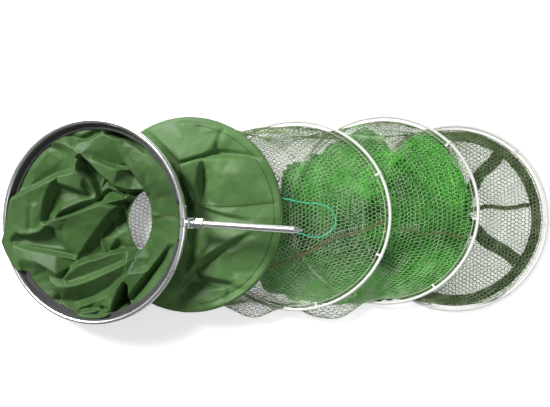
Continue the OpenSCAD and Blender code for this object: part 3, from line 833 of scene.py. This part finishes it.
def make_edge_cord(k):
    a = full_turn(480)
    wobble = waves(60 + k, (7, 13, 29), (1, 0.6, 0.5), (0, 0, 0))(a, 0 * a)
    path = on_ring(k, EDGE_R + 0.0002 * wobble, a, 0.0002 * np.roll(wobble, 37))
    cord = tube(f"hoop_{k}_bolt_cord", path, EDGE_CORD_R, 8, EDGE_CORD, 1500, 0.12, True)
    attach(cord, BODY[k])
    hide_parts(f"hoop_{k}_edge_cord")


for ring in (3, 4, 5):
    make_edge_cord(ring)

# ---------------------------------------------------------------- mouth lining, hem and fabric

LIP_R = 0.1655
LINING_R = 0.1735
HEM_R = 0.0041
HALF_GAP = math.radians(11.6)


def make_lining():
    """The woven tape inside the mouth ring, turned in at the bottom, with a stitched edge."""
    a = np.linspace(HALF_GAP, 2 * math.pi - HALF_GAP, 420)
    pucker = waves(71, (17, 31, 53), (0.5, 0.4, 0.3), (0, 0, 0))(a, 0 * a)
    outline = [(0.0012, 0.0025), (0.0006, 0.0032), (0, 0.0025), (0, 0), (0, -0.003), (-0.0012, -0.0048),
               (-0.004, -0.0051), (-0.0078, -0.0052), (-0.0082, -0.0057), (-0.0078, -0.0062), (-0.002, -0.0062),
               (0.0012, -0.0062), (0.0012, -0.002)]
    rings = []
    for x, z in outline:
        share = max(0.0, -x) / 0.008
        rings.append(on_ring(1, LINING_R + x + 0.0006 * share * pucker, a, z + 0.0005 * share * pucker))
    points = np.stack(rings, 1)
    n, m = len(a), len(outline)
    made = add_mesh("lining_tape", points, sweep_faces(n, m, False), TAPE)
    set_uv(made, np.stack([np.repeat(a * LINING_R, m), np.tile(run_along(np.array(outline)), n)], -1))
    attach(made, "mouth")
    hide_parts("mouth_lining")


def make_hem():
    """The fabric rolled round the second hoop, with small puckers."""
    n, m = 540, 20
    a, s = full_turn(n)[:, None], full_turn(m)[None, :]
    pucker = waves(81, (23, 41, 67, 97), (0.5, 0.5, 0.4, 0.3), (3, 5, 8, 9))(a, s)
    radius = HEM_R + 0.0003 * pucker
    points = on_ring(2, HOOP_R + radius * np.cos(s), a + 0 * s, radius * np.sin(s))
    made = add_mesh("hem_roll", points, grid_faces(n, m, True), FABRIC)
    set_uv(made, np.stack([(a * HOOP_R + 0 * s).reshape(-1), (0.004 * s + 0 * a).reshape(-1)], -1))
    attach(made, "hoop_2")
    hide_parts("hoop_2_hem")


make_lining()
make_hem()


# ---------------------------------------------------------------- the fabric's folds

# Fold lines as (x, y, height in mm): x and y in sevenths of a pixel of the 550 x 407 view, y from row 110
FOLD_UNIT = 1 / 7.126
FOLD_TOP = 110

INNER_FOLDS = [
    # upper left panel, which dips under the long crease
    [(75, 640, 22), (200, 576, 30), (300, 526, 35), (400, 472, 40), (520, 447, 43), (540, 434, 44)],
    [(96, 612, 11), (192, 560, 9), (292, 511, 9), (392, 456, 11), (450, 436, 15), (515, 408, 28)],
    [(540, 434, 44), (533, 400, 44), (545, 350, 49)],
    [(350, 235, 27), (385, 226, 32), (430, 235, 38), (480, 258, 43), (530, 285, 47), (555, 318, 50)],
    [(368, 266, 19), (430, 282, 22), (490, 320, 30), (530, 345, 38)],
    [(235, 430, 17), (300, 350, 20), (340, 300, 21)],
    [(240, 500, 13), (340, 420, 16), (440, 350, 23)],
    # long diagonal ridge
    [(415, 172, 27), (470, 210, 35), (530, 270, 44), (565, 315, 51), (625, 370, 53), (710, 465, 54),
     (800, 535, 54), (900, 606, 49)],
    # deep cavity below it
    [(600, 352, 16), (618, 408, 6), (672, 476, 4), (712, 536, 4), (728, 592, 5)],
    [(618, 338, 14), (646, 368, 5), (702, 420, 4), (762, 478, 4), (822, 530, 5)],
    [(704, 632, 17), (722, 590, 17), (771, 553, 20), (841, 579, 30), (896, 609, 46)],
    [(738, 632, 5), (756, 600, 4), (794, 572, 5), (846, 597, 10), (892, 622, 24)],
    [(921, 600, 7), (960, 592, 8), (1010, 590, 14)],
    [(921, 570, 47), (1021, 566, 50)],
    # curved panel left of the cavity
    [(540, 434, 43), (600, 478, 37), (650, 520, 33), (685, 590, 29), (690, 625, 28)],
    [(600, 530, 30), (640, 590, 25)],
    # small triangle, high at its lower edge
    [(400, 470, 39), (404, 518, 39), (470, 540, 41), (560, 570, 40), (605, 590, 36)],
    [(446, 552, 18), (512, 578, 17), (590, 606, 20)],
    [(540, 434, 43), (575, 520, 41), (605, 590, 36)],
    # dark band and left panel
    [(408, 508, 26), (386, 578, 10), (364, 650, 6), (350, 725, 6), (346, 780, 9)],
    [(380, 495, 37), (332, 578, 31), (303, 655, 29), (290, 735, 27), (288, 800, 25)],
    [(175, 590, 29), (230, 625, 28), (280, 655, 28)],
    [(176, 640, 28), (182, 720, 29), (176, 850, 25)],
    [(214, 660, 26), (216, 740, 25), (214, 840, 21)],
    [(232, 700, 30), (244, 770, 29), (248, 850, 24)],
    [(110, 872, 22), (135, 880, 26), (165, 890, 27), (200, 890, 27), (280, 870, 28), (330, 822, 30), (350, 800, 31),
     (370, 784, 32)],
    [(156, 906, 5), (236, 908, 4), (316, 892, 4), (366, 846, 6)],
    [(150, 932, 5), (240, 948, 4), (340, 962, 4), (430, 978, 6)],
    [(372, 862, 5), (398, 915, 5), (440, 962, 5)],
    # twin ridges above the big triangle
    [(370, 784, 30), (425, 722, 29), (500, 684, 31), (600, 644, 33), (680, 626, 31)],
    [(435, 756, 12), (550, 718, 14), (700, 656, 20)],
    [(450, 650, 17), (560, 620, 24), (640, 612, 25)],
    [(430, 600, 12), (404, 690, 10)],
    [(370, 784, 30), (440, 768, 34), (490, 750, 37), (575, 720, 42), (712, 672, 48), (890, 632, 52)],
    [(890, 632, 52), (815, 705, 47), (740, 780, 41), (690, 850, 34), (650, 905, 28), (600, 975, 21), (548, 1042, 15)],
    [(370, 784, 30), (400, 850, 25), (455, 940, 18), (530, 1018, 12)],
    [(520, 800, 33), (500, 860, 24)],
    [(455, 800, 28), (440, 860, 20)],
    # dark floor right of the big triangle
    [(915, 655, 7), (850, 730, 5), (785, 810, 4), (725, 880, 4), (675, 930, 4), (630, 1000, 4)],
    [(912, 660, 12), (912, 760, 20), (918, 850, 26)],
    [(790, 795, 8), (845, 872, 24), (895, 862, 26), (930, 856, 28)],
    [(845, 872, 24), (838, 905, 26), (800, 960, 20), (758, 1030, 10)],
    [(672, 925, 5), (720, 922, 14), (838, 905, 26)],
    [(650, 950, 4), (700, 980, 4), (745, 1010, 4)],
    [(845, 960, 8), (900, 985, 12), (930, 980, 24)],
    [(838, 905, 26), (890, 940, 24), (945, 985, 30)],
    [(850, 800, 10), (890, 790, 14)],
    # lower left panel and the slit above it
    [(10, 938, 14), (60, 938, 15), (140, 942, 10), (250, 962, 8), (370, 982, 8), (470, 995, 11), (540, 1005, 15)],
    [(130, 957, 8), (250, 982, 4), (400, 1006, 4), (510, 1028, 6)],
    [(20, 950, 14), (80, 962, 16), (130, 975, 17), (200, 992, 18), (300, 1011, 19), (400, 1032, 20), (535, 1078, 24)],
    [(250, 930, 4), (330, 925, 4), (410, 945, 4)],
    [(150, 1060, 22), (260, 1090, 27), (340, 1135, 32), (400, 1170, 34)],
    [(535, 1078, 24), (500, 1120, 31), (470, 1165, 35), (440, 1208, 37)],
    # slit beside it
    [(548, 1075, 14), (520, 1110, 11), (490, 1155, 11), (458, 1196, 18)],
    # glossy ridge from the left fold to the throat
    [(448, 1212, 32), (500, 1156, 37), (560, 1104, 41), (640, 1073, 43), (720, 1047, 45), (800, 1022, 46),
     (900, 1002, 44), (990, 990, 40)],
    [(570, 1064, 8), (640, 1036, 4), (740, 1026, 4), (810, 998, 7), (900, 980, 16)],
    [(500, 1216, 28), (600, 1184, 29), (740, 1130, 34), (880, 1068, 41)],
    [(395, 1270, 33), (470, 1262, 39), (545, 1248, 43), (620, 1222, 46), (700, 1188, 49), (800, 1142, 52),
     (895, 1096, 54)],
    [(450, 1345, 18), (560, 1362, 17), (680, 1322, 21), (780, 1262, 30), (868, 1180, 43)],
    [(540, 1430, 32), (600, 1395, 38), (690, 1358, 45), (760, 1325, 50), (820, 1270, 53), (880, 1200, 56)],
    [(715, 1350, 50), (712, 1385, 47), (718, 1425, 38)],
    [(566, 1424, 25), (640, 1410, 28), (740, 1412, 31)],
    [(552, 1450, 39), (600, 1438, 45), (690, 1434, 51), (790, 1424, 57)],
    [(566, 1462, 38), (640, 1463, 43), (740, 1456, 51)],
    # dark wedge
    [(912, 1245, 20), (902, 1290, 6), (878, 1360, 5), (862, 1425, 8)],
    [(930, 1270, 10), (944, 1330, 6), (950, 1375, 8)],
    [(878, 1225, 55), (840, 1290, 54), (808, 1360, 53), (796, 1430, 49)],
    [(904, 1170, 56), (906, 1250, 55), (910, 1330, 54), (928, 1385, 53)],
    # left lower crease
    [(332, 1155, 26), (345, 1210, 28), (372, 1275, 31), (388, 1312, 30)],
    [(342, 1150, 16), (364, 1215, 14), (394, 1285, 18)],
    [(402, 1250, 32), (422, 1310, 30), (447, 1378, 28)],
    [(345, 1165, 20), (395, 1195, 24), (430, 1222, 27)],
    # right of the throat
    [(1045, 600, 46), (1076, 592, 52), (1121, 588, 60), (1160, 572, 67), (1206, 556, 74)],
    [(1100, 640, 50), (1160, 620, 60), (1215, 605, 69)],
    [(1085, 750, 44), (1150, 745, 56), (1240, 740, 70)],
    [(1085, 762, 42), (1150, 757, 54), (1240, 752, 68)],
    [(1210, 790, 70), (1180, 870, 62), (1130, 960, 56), (1080, 1050, 50), (1050, 1110, 46)],
    [(1240, 880, 76), (1190, 960, 70), (1130, 1050, 63), (1050, 1150, 57), (960, 1260, 54)],
    [(1215, 985, 64), (1160, 1075, 47), (1090, 1165, 35), (1010, 1275, 33), (940, 1360, 40)],
    [(1200, 1060, 76), (1120, 1180, 69), (1040, 1290, 64), (960, 1365, 58)],
    [(1080, 900, 46), (1030, 980, 44), (960, 1060, 46), (905, 1160, 50)],
    # top right panels: the upper one dives under the lower one's edge
    [(841, 208, 60), (866, 260, 59), (901, 325, 58), (903, 380, 58), (931, 412, 60), (971, 480, 60), (1023, 542, 55)],
    [(645, 322, 43), (741, 368, 34), (841, 402, 31), (900, 400, 36)],
    [(648, 340, 52), (741, 388, 56), (841, 423, 58), (925, 428, 59), (965, 482, 56), (1012, 540, 53)],
    [(935, 440, 40), (960, 468, 38), (1000, 528, 42)],
    [(600, 290, 47), (700, 300, 43), (800, 330, 41), (880, 375, 44)],
    [(680, 230, 45), (760, 250, 47), (840, 300, 50)],
    [(790, 172, 22), (812, 160, 10), (860, 170, 10), (900, 192, 20), (941, 216, 34), (1030, 282, 50)],
    [(775, 182, 50), (800, 200, 55), (841, 208, 60)],
    [(890, 215, 58), (960, 262, 61), (1040, 320, 65)],
    [(960, 300, 62), (1060, 400, 67), (1120, 500, 69)],
    [(1060, 310, 66), (1160, 420, 74)],
    [(480, 176, 26), (540, 196, 27), (590, 208, 28), (650, 180, 31), (700, 150, 35)],
    [(520, 160, 33), (580, 180, 39), (640, 160, 41)],
    [(560, 230, 43), (650, 215, 45), (740, 165, 48)],
]

OUTER_FOLDS = [
    # upper panel with its short crease
    [(1283, 179, 47), (1400, 170, 51), (1553, 159, 56)],
    [(1583, 144, 54), (1562, 190, 54), (1553, 224, 53), (1535, 272, 48)],
    [(1540, 150, 57), (1530, 220, 57)],
    [(1610, 160, 59), (1590, 230, 58), (1600, 280, 55)],
    [(1283, 362, 52), (1350, 342, 54), (1433, 320, 56), (1520, 285, 56), (1620, 288, 55), (1700, 300, 58),
     (1850, 338, 62)],
    [(1283, 385, 38), (1433, 338, 38), (1540, 300, 38), (1653, 308, 44), (1740, 318, 51), (1843, 345, 58)],
    [(1540, 290, 40), (1600, 300, 38), (1690, 312, 47)],
    [(1300, 100, 47), (1450, 95, 50), (1600, 130, 57)],
    # rounded middle panel
    [(1455, 352, 62), (1560, 352, 64), (1660, 345, 65), (1760, 350, 67), (1880, 366, 67)],
    [(1500, 400, 62), (1560, 450, 66), (1600, 500, 68)],
    [(1530, 480, 60), (1560, 560, 62), (1600, 620, 60)],
    [(1700, 450, 74), (1750, 520, 75), (1800, 590, 74)],
    [(1850, 450, 73), (1920, 560, 75), (1950, 630, 75)],
    # pocket at its left
    [(1433, 350, 63), (1418, 400, 62), (1408, 464, 60), (1402, 530, 56), (1404, 570, 53), (1424, 640, 47)],
    [(1437, 375, 56), (1430, 430, 42), (1428, 500, 34), (1432, 580, 32), (1440, 640, 36)],
    [(1448, 370, 60), (1460, 430, 50), (1470, 510, 44), (1475, 590, 44), (1470, 645, 44)],
    # panel beside the mouth ring
    [(1283, 392, 66), (1350, 368, 66), (1433, 350, 63)],
    [(1283, 444, 62), (1320, 480, 60), (1360, 530, 57), (1404, 570, 53)],
    [(1290, 470, 48), (1330, 540, 48), (1370, 600, 46), (1395, 650, 45)],
    [(1300, 500, 54), (1340, 570, 53), (1383, 668, 47), (1424, 640, 47)],
    [(1290, 560, 30), (1330, 640, 28), (1350, 705, 28), (1290, 730, 26)],
    # seam and the fold under it
    [(1413, 662, 46), (1480, 674, 50), (1553, 682, 55), (1640, 680, 60), (1733, 672, 66), (1913, 653, 72),
     (2020, 658, 71)],
    [(1413, 672, 44), (1553, 692, 53), (1733, 683, 64), (1913, 664, 70), (2020, 669, 70)],
    [(1455, 690, 50), (1520, 716, 56), (1600, 738, 60), (1733, 762, 66), (1790, 785, 68)],
    [(1455, 705, 42), (1540, 738, 47), (1640, 765, 54), (1733, 785, 60)],
    [(1383, 720, 44), (1440, 760, 46), (1520, 790, 50)],
    # long ridge under the spike
    [(1283, 1256, 46), (1325, 1185, 53), (1383, 1112, 60), (1430, 1060, 65), (1483, 1022, 69), (1545, 980, 71),
     (1613, 943, 73), (1700, 895, 73), (1783, 853, 73), (1850, 826, 73)],
    [(1300, 1285, 34), (1350, 1215, 34), (1403, 1145, 36), (1445, 1098, 40), (1495, 1056, 46), (1555, 1012, 52),
     (1620, 972, 58), (1705, 922, 64), (1785, 885, 68)],
    [(1320, 930, 44), (1360, 1000, 44), (1340, 1080, 44)],
    [(1420, 880, 52), (1440, 960, 55), (1420, 1030, 58)],
    [(1520, 850, 58), (1560, 900, 64)],
    [(1325, 930, 40), (1400, 850, 45), (1440, 800, 47)],
    # lower right panels
    [(1500, 1110, 50), (1560, 1080, 56), (1640, 1030, 64), (1740, 980, 70), (1850, 900, 74)],
    [(1595, 1015, 58), (1620, 1050, 55), (1683, 1155, 52)],
    [(1612, 1012, 61), (1640, 1048, 60), (1700, 1150, 57)],
    [(1403, 1150, 50), (1440, 1172, 53), (1483, 1186, 55), (1550, 1203, 57), (1623, 1216, 58), (1690, 1206, 58)],
    [(1345, 1230, 26), (1430, 1212, 28), (1500, 1222, 32), (1600, 1240, 40), (1640, 1238, 44)],
    [(1283, 1318, 34), (1400, 1290, 40), (1500, 1282, 44), (1625, 1266, 50)],
    [(1330, 1360, 44), (1450, 1350, 48), (1580, 1340, 50)],
    [(1628, 1250, 44), (1636, 1320, 43), (1643, 1386, 44)],
    [(1655, 1250, 53), (1665, 1320, 51), (1668, 1370, 48)],
    [(1700, 1250, 60), (1760, 1200, 62), (1800, 1230, 58), (1860, 1150, 64)],
    [(1720, 1290, 50), (1790, 1270, 54), (1850, 1210, 58)],
    [(1900, 850, 75), (1960, 900, 73)],
]

# In the same units: outlines of the cloth that spills over the left of the mouth ring, and of the cloth
# rolled over the lining at the bottom
CUFF = [(110, 580), (76, 640), (60, 700), (45, 790), (28, 870), (6, 940), (44, 1020), (88, 1090), (126, 1140),
        (160, 1170)]
ROLL = [(500, 1410), (540, 1444), (560, 1466), (600, 1476), (660, 1479), (720, 1473), (780, 1456), (820, 1420)]
# Each outline with the height in mm at which it was read, and how far it lies over the mouth ring's plane
SPILLS = [(CUFF, 15, 0.0085), (ROLL, 42, 0.0005)]

# Heights from the mouth ring's plane: cloth over the ring, the cuff's bend, the lining's edge, cloth under the ring
RING_TOP = 0.0075
CUFF_BEND = 0.0145
LIP_DROP = 0.0072
RING_UNDER = 0.0105

# Radius at which the cloth leaves the lining, where it ends on the hem, and its height where it crosses the hem
START_R = LIP_R + 0.002
HEM_END = 0.0048
HEM_TOP = 0.0085

# Least heights of the inner cloth, and of the outer cloth under it and beyond it, and the gap between the two
INNER_LOW, UNDER_LOW, OUTER_LOW = 0.005, 0.0022, 0.0016
CLOTH_GAP = 0.0028

# The throat: view pixel and height of its middle, and half its width and height
HOLE = (140, 220.5, 0.036)
HOLE_SIZE = (0.0215, 0.0525)

# Cell of the height maps, and the radius of the creases on the inner and the outer cloth
GRID = 0.001
CREASE_IN, CREASE_OUT = 0.0013, 0.0015

# Points round the sleeve, and its rows on the cuff, the inner cloth and the outer cloth
AROUND, CUFF_ROWS, INNER_ROWS, OUTER_ROWS = 420, 9, 136, 66


def fold_point(x, y, z):
    """The frame point of one place of a fold line."""
    return seen(x * FOLD_UNIT, FOLD_TOP + y * FOLD_UNIT, z * MM)


def hole_edge(a, size=1.0):
    """The throat's pinched edge: narrow, with its upper end drawn to the right."""
    tall = np.sin(a)
    x = HOLE_SIZE[0] * np.cos(a) * (1 - 0.25 * tall**2) + 0.006 * np.maximum(tall, 0) ** 2
    return seen(*HOLE) + size * np.stack([x, HOLE_SIZE[1] * tall, 0 * a], -1)


def cuff_edge(a):
    """Where the visible cloth starts at angle a, by the lining or spilled out, and the cuff's share there."""
    edge = on_ring(1, START_R, a, -LIP_DROP)
    shares = []
    width = math.radians(5)
    for outline, height, rise in SPILLS:
        corners = np.array([fold_point(x, y, height) for x, y in outline])
        away = corners - CENTRES[1]
        angles = np.arctan2(away[:, 1], away[:, 0]) % (2 * math.pi)
        order = np.argsort(angles)
        turn = a % (2 * math.pi)
        x = np.interp(turn, angles[order], corners[order, 0])
        y = np.interp(turn, angles[order], corners[order, 1])
        shares.append(ease((turn - angles.min()) / width) * ease((angles.max() - turn) / width))
        edge = edge + (np.stack([x, y, plane_z(1, x) + rise], -1) - edge) * shares[-1][..., None]
    return edge, shares[0]


def height_field(lines, borders, radius):
    """A height map from fold lines, with flat panels between them and its creases rounded to a radius."""
    points, edges = [], []
    for line in [[fold_point(*p) for p in line] for line in lines] + borders:
        start = len(points)
        points += [Vector(p) for p in line]
        edges += [(start + n, start + n + 1) for n in range(len(line) - 1)]
    verts, _, faces, origins, _, _ = delaunay_2d_cdt([p.xy for p in points], edges, [], 0, 0.0004)
    known = np.array([points[o[0]].z if o else np.nan for o in origins])
    flat = np.array([tuple(p) for p in verts])
    near = {n: [] for n in np.nonzero(np.isnan(known))[0]}
    for face in faces:
        for n in near.keys() & set(face):
            near[n] += [known[m] for m in face if not np.isnan(known[m])]
    for n, heights in near.items():
        known[n] = np.mean(heights) if heights else 0.02
    low = flat.min(0)
    field = np.full(np.ceil((flat.max(0) - low) / GRID).astype(int) + 1, np.nan)
    for face in faces:
        for n in range(1, len(face) - 1):
            a, b, c = (np.append(flat[m], known[m]) for m in (face[0], face[n], face[n + 1]))
            area = (b[0] - a[0]) * (c[1] - a[1]) - (c[0] - a[0]) * (b[1] - a[1])
            if abs(area) < 1e-12:
                continue
            i0, j0 = np.floor((np.minimum(np.minimum(a, b), c)[:2] - low) / GRID).astype(int)
            i1, j1 = np.ceil((np.maximum(np.maximum(a, b), c)[:2] - low) / GRID).astype(int)
            patch = field[i0:i1 + 1, j0:j1 + 1]
            i, j = np.meshgrid(*map(np.arange, patch.shape), indexing="ij")
            x, y = low[0] + GRID * (i0 + i), low[1] + GRID * (j0 + j)
            s = ((x - a[0]) * (c[1] - a[1]) - (c[0] - a[0]) * (y - a[1])) / area
            t = ((b[0] - a[0]) * (y - a[1]) - (x - a[0]) * (b[1] - a[1])) / area
            inside = (s >= -1e-6) & (t >= -1e-6) & (s + t <= 1 + 1e-6)
            patch[inside] = (a[2] + s * (b[2] - a[2]) + t * (c[2] - a[2]))[inside]
    return low, blurred(field, radius)


def blurred(field, radius):
    """The map with its creases rounded to about that radius, its empty cells left out."""
    reach = int(3 * radius / GRID)
    weights = np.exp(-0.5 * (np.arange(-reach, reach + 1) * GRID / radius) ** 2)
    full = np.where(np.isnan(field), 0, field)
    share = (~np.isnan(field)).astype(float)
    for axis in (0, 1):
        full = np.apply_along_axis(np.convolve, axis, full, weights, "same")
        share = np.apply_along_axis(np.convolve, axis, share, weights, "same")
    return full / np.maximum(share, 1e-9)


def sample(low, field, x, y):
    """Heights of a map at points, between its cells."""
    i, j = (x - low[0]) / GRID, (y - low[1]) / GRID
    i, j = np.clip(i, 0, field.shape[0] - 1.001), np.clip(j, 0, field.shape[1] - 1.001)
    m, n = i.astype(int), j.astype(int)
    s, t = i - m, j - n
    return ((1 - s) * (1 - t) * field[m, n] + s * (1 - t) * field[m + 1, n]
            + (1 - s) * t * field[m, n + 1] + s * t * field[m + 1, n + 1])


def crumple(x, y, seed, scale):
    """Small sharp-edged wrinkles over the plane, from -1 to 1."""
    rng = np.random.default_rng(seed)
    total, weight = 0, 0
    for n in range(7):
        turn, size = rng.uniform(0, math.pi), scale * rng.uniform(0.6, 1.7)
        bend = 0.8 * np.sin((x * math.sin(turn) - y * math.cos(turn)) / size * 1.7 + rng.uniform(0, 6))
        phase = (x * math.cos(turn) + y * math.sin(turn)) / size * math.pi + bend + rng.uniform(0, 6)
        total = total + (1 - 2 * np.abs(np.sin(phase))) * size
        weight += size
    return total / weight


# Stitched lines: on the inner or outer cloth as fold points, or along the hem between two angles
SEWN = [
    *[("in", [(1092, y, 45), (1150, y - 4, 55), (1200, y - 8, 62), (1246, y - 12, 70)]) for y in (754, 766)],
    ("out", [(1430, 668, 47), (1553, 688, 54), (1733, 679, 65), (1913, 660, 71), (2015, 664, 70)]),
    ("hem", (-82, 84)),
]
STITCH, STITCH_STEP = 0.003, 0.0044
THREAD_R, FINE_R = 0.0004, 0.0003


def loop_of(points, step):
    return [*points[::step], points[0]]


def wrinkled(x, y, seed, scales, sizes):
    """Heights of two sizes of wrinkle together."""
    return sizes[0] * crumple(x, y, seed, scales[0]) + sizes[1] * crumple(x, y, seed + 1, scales[1])


def follow_sleeve(made):
    """Bakes the placement of a piece of the sleeve into its mesh; the points below the mouth ring that it works out
    are not used.
    """
    below_plane(1, 0.009)
    below_plane(1, 0.036)
    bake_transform(made)


def make_fabric():
    """The fabric sleeve from the lining, over the throat's pinched edge, to the second hoop's hem."""
    turn = 2 * math.pi * np.arange(AROUND) / AROUND
    edge, spilled = cuff_edge(turn)
    start = on_ring(1, START_R, turn, -LIP_DROP)
    hole = hole_edge(turn)
    hem = on_ring(2, HOOP_R, turn, HEM_END)

    # The maps' borders: past the visible edge or the hem, that edge itself, and the throat
    out = np.stack([np.cos(turn), np.sin(turn), 0 * turn], -1)
    wide = edge + 0.004 * (edge - CENTRES[1]) / np.linalg.norm(edge - CENTRES[1], axis=1)[:, None] * [1, 1, 0]
    far = hem + [0.004, 0.004, 0] * out
    throat = [loop_of(hole, 8), list(hole_edge(turn, 0.7)[::8])]
    low_in, map_in = height_field(INNER_FOLDS, [loop_of(wide, 5), loop_of(edge, 5), *throat], CREASE_IN)
    low_out, map_out = height_field(OUTER_FOLDS, [loop_of(far, 5), loop_of(hem, 5), *throat], CREASE_OUT)

    s = np.linspace(0, 1, CUFF_ROWS, endpoint=False)[:, None, None]
    bend = start + (edge - start) * 0.05 + np.stack([0 * turn, 0 * turn, CUFF_BEND * spilled], -1)
    cuff = (1 - s) ** 2 * start + 2 * s * (1 - s) * bend + s**2 * edge

    t = np.linspace(0, 1, INNER_ROWS)[:, None]
    inner = edge + (hole - edge) * t[..., None]
    x, y = inner[..., 0], inner[..., 1]
    z = sample(low_in, map_in, x, y)
    z = z + wrinkled(x, y, 5, (0.018, 0.007), (0.0005, 0.0002)) * (1 - bell(t, 1, 0.05)) * ease(t / 0.06)
    begun = ease(t / 0.03)
    z = z * begun + edge[..., 2] * (1 - begun)
    r = np.linalg.norm((inner - CENTRES[1]) * [1, 1, 0], axis=-1)
    ring_top = (plane_z(1, x) + RING_TOP) * ease((r - 0.16) / 0.006) * (spilled > 0.5)
    r = np.hypot(x - CENTRES[2][0], y - CENTRES[2][1])
    hem_top = bell(r, HOOP_R * 0.99, 0.007) * (plane_z(2, x) + HEM_TOP)
    inner[..., 2] = np.maximum(np.maximum(np.maximum(z, hem_top), ring_top), INNER_LOW)

    t = np.linspace(0, 1, OUTER_ROWS)[:, None]
    t = t + 0.25 * np.sin(2 * math.pi * t) / (2 * math.pi)
    outer = hole + (hem - hole) * t[..., None]
    x, y = outer[..., 0], outer[..., 1]
    z = sample(low_out, map_out, x, y)
    z = z + wrinkled(x, y, 7, (0.016, 0.006), (0.0005, 0.0002)) * np.sin(math.pi * np.clip(t, 0, 1))
    close = ease((t - 0.94) / 0.06)
    z = z * (1 - close) + hem[..., 2] * close
    r = np.linalg.norm((outer - CENTRES[1]) * [1, 1, 0], axis=-1)
    under = np.maximum(sample(low_in, map_in, x, y) - CLOTH_GAP, UNDER_LOW)
    limit = np.where(r < LIP_R * 0.985, under, np.where(r < 0.19, plane_z(1, x) - RING_UNDER, 1))
    outer[..., 2] = np.maximum(np.minimum(z, limit), OUTER_LOW)

    p = np.concatenate([cuff, inner[:-1], outer])
    made = add_mesh("fabric_sleeve_cloth", p, grid_faces(len(p), AROUND), FABRIC_IN)
    made.data.materials.append(FABRIC)
    kinds = np.zeros(len(made.data.polygons), np.int32)
    kinds[(CUFF_ROWS + INNER_ROWS) * AROUND:] = 1
    made.data.polygons.foreach_set("material_index", kinds)
    way = np.concatenate([np.zeros((1, AROUND)), np.cumsum(np.linalg.norm(np.diff(p, axis=0), axis=2), 0)])
    u = np.broadcast_to(turn * HOOP_R, way.shape)
    set_uv(made, np.stack([u.reshape(-1), way.reshape(-1)], -1))
    follow_sleeve(made)
    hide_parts("fabric_sleeve")

    for n, (kind, line) in enumerate(SEWN):
        if kind == "hem":
            path = on_ring(2, HOOP_R - 0.012, np.radians(np.linspace(*line, 200)), 0)
        else:
            path = spline(np.array([fold_point(*q) for q in line]), 12)
        low, field = (low_in, map_in) if kind == "in" else (low_out, map_out)
        path[:, 2] = sample(low, field, path[:, 0], path[:, 1]) + 0.0009
        along = run_along(path)
        marks = np.arange(0.001, along[-1] - 0.004, STITCH_STEP)
        ends = [np.stack([np.interp(m, along, path[:, c]) for c in range(3)], -1) for m in (marks, marks + STITCH)]
        thread = prisms(f"sleeve_stitches_{n + 1}", *ends, THREAD_R, SEAM if kind == "in" else DARK_THREAD)
        follow_sleeve(thread)


make_fabric()


def make_throat_net():
    """The fine net in the throat, drawn together where the sleeve is pinched, its twine near black as painted shade
    of the sleeve.
    """
    cells, rows = 13, 34
    drift = waves(91, (2, 3, 5), (0.4, 0.3, 0.2), (2, 3, 5))

    def place(u, v):
        s, c = v / (rows - 1) * 2 - 1, u / cells * 2 - 1
        x = 0.0235 * c * np.sqrt(np.maximum(1 - (0.95 * s) ** 2, 0)) + 0.004 * s
        y = 0.054 * s - 0.3 * x + 0.005 * (1 - c**2) + 0.0012 * drift(3 * c, s)
        return seen(*HOLE) + np.stack([x, y, -0.013 - 0.004 * c**2 + 0.002 * drift(2 * s, c)], -1)

    made = net_mesh("net_throat", place, cells, rows, False, FINE_R, no_painted_light, NET_FINE_SHADED)
    follow_sleeve(made)


make_throat_net()
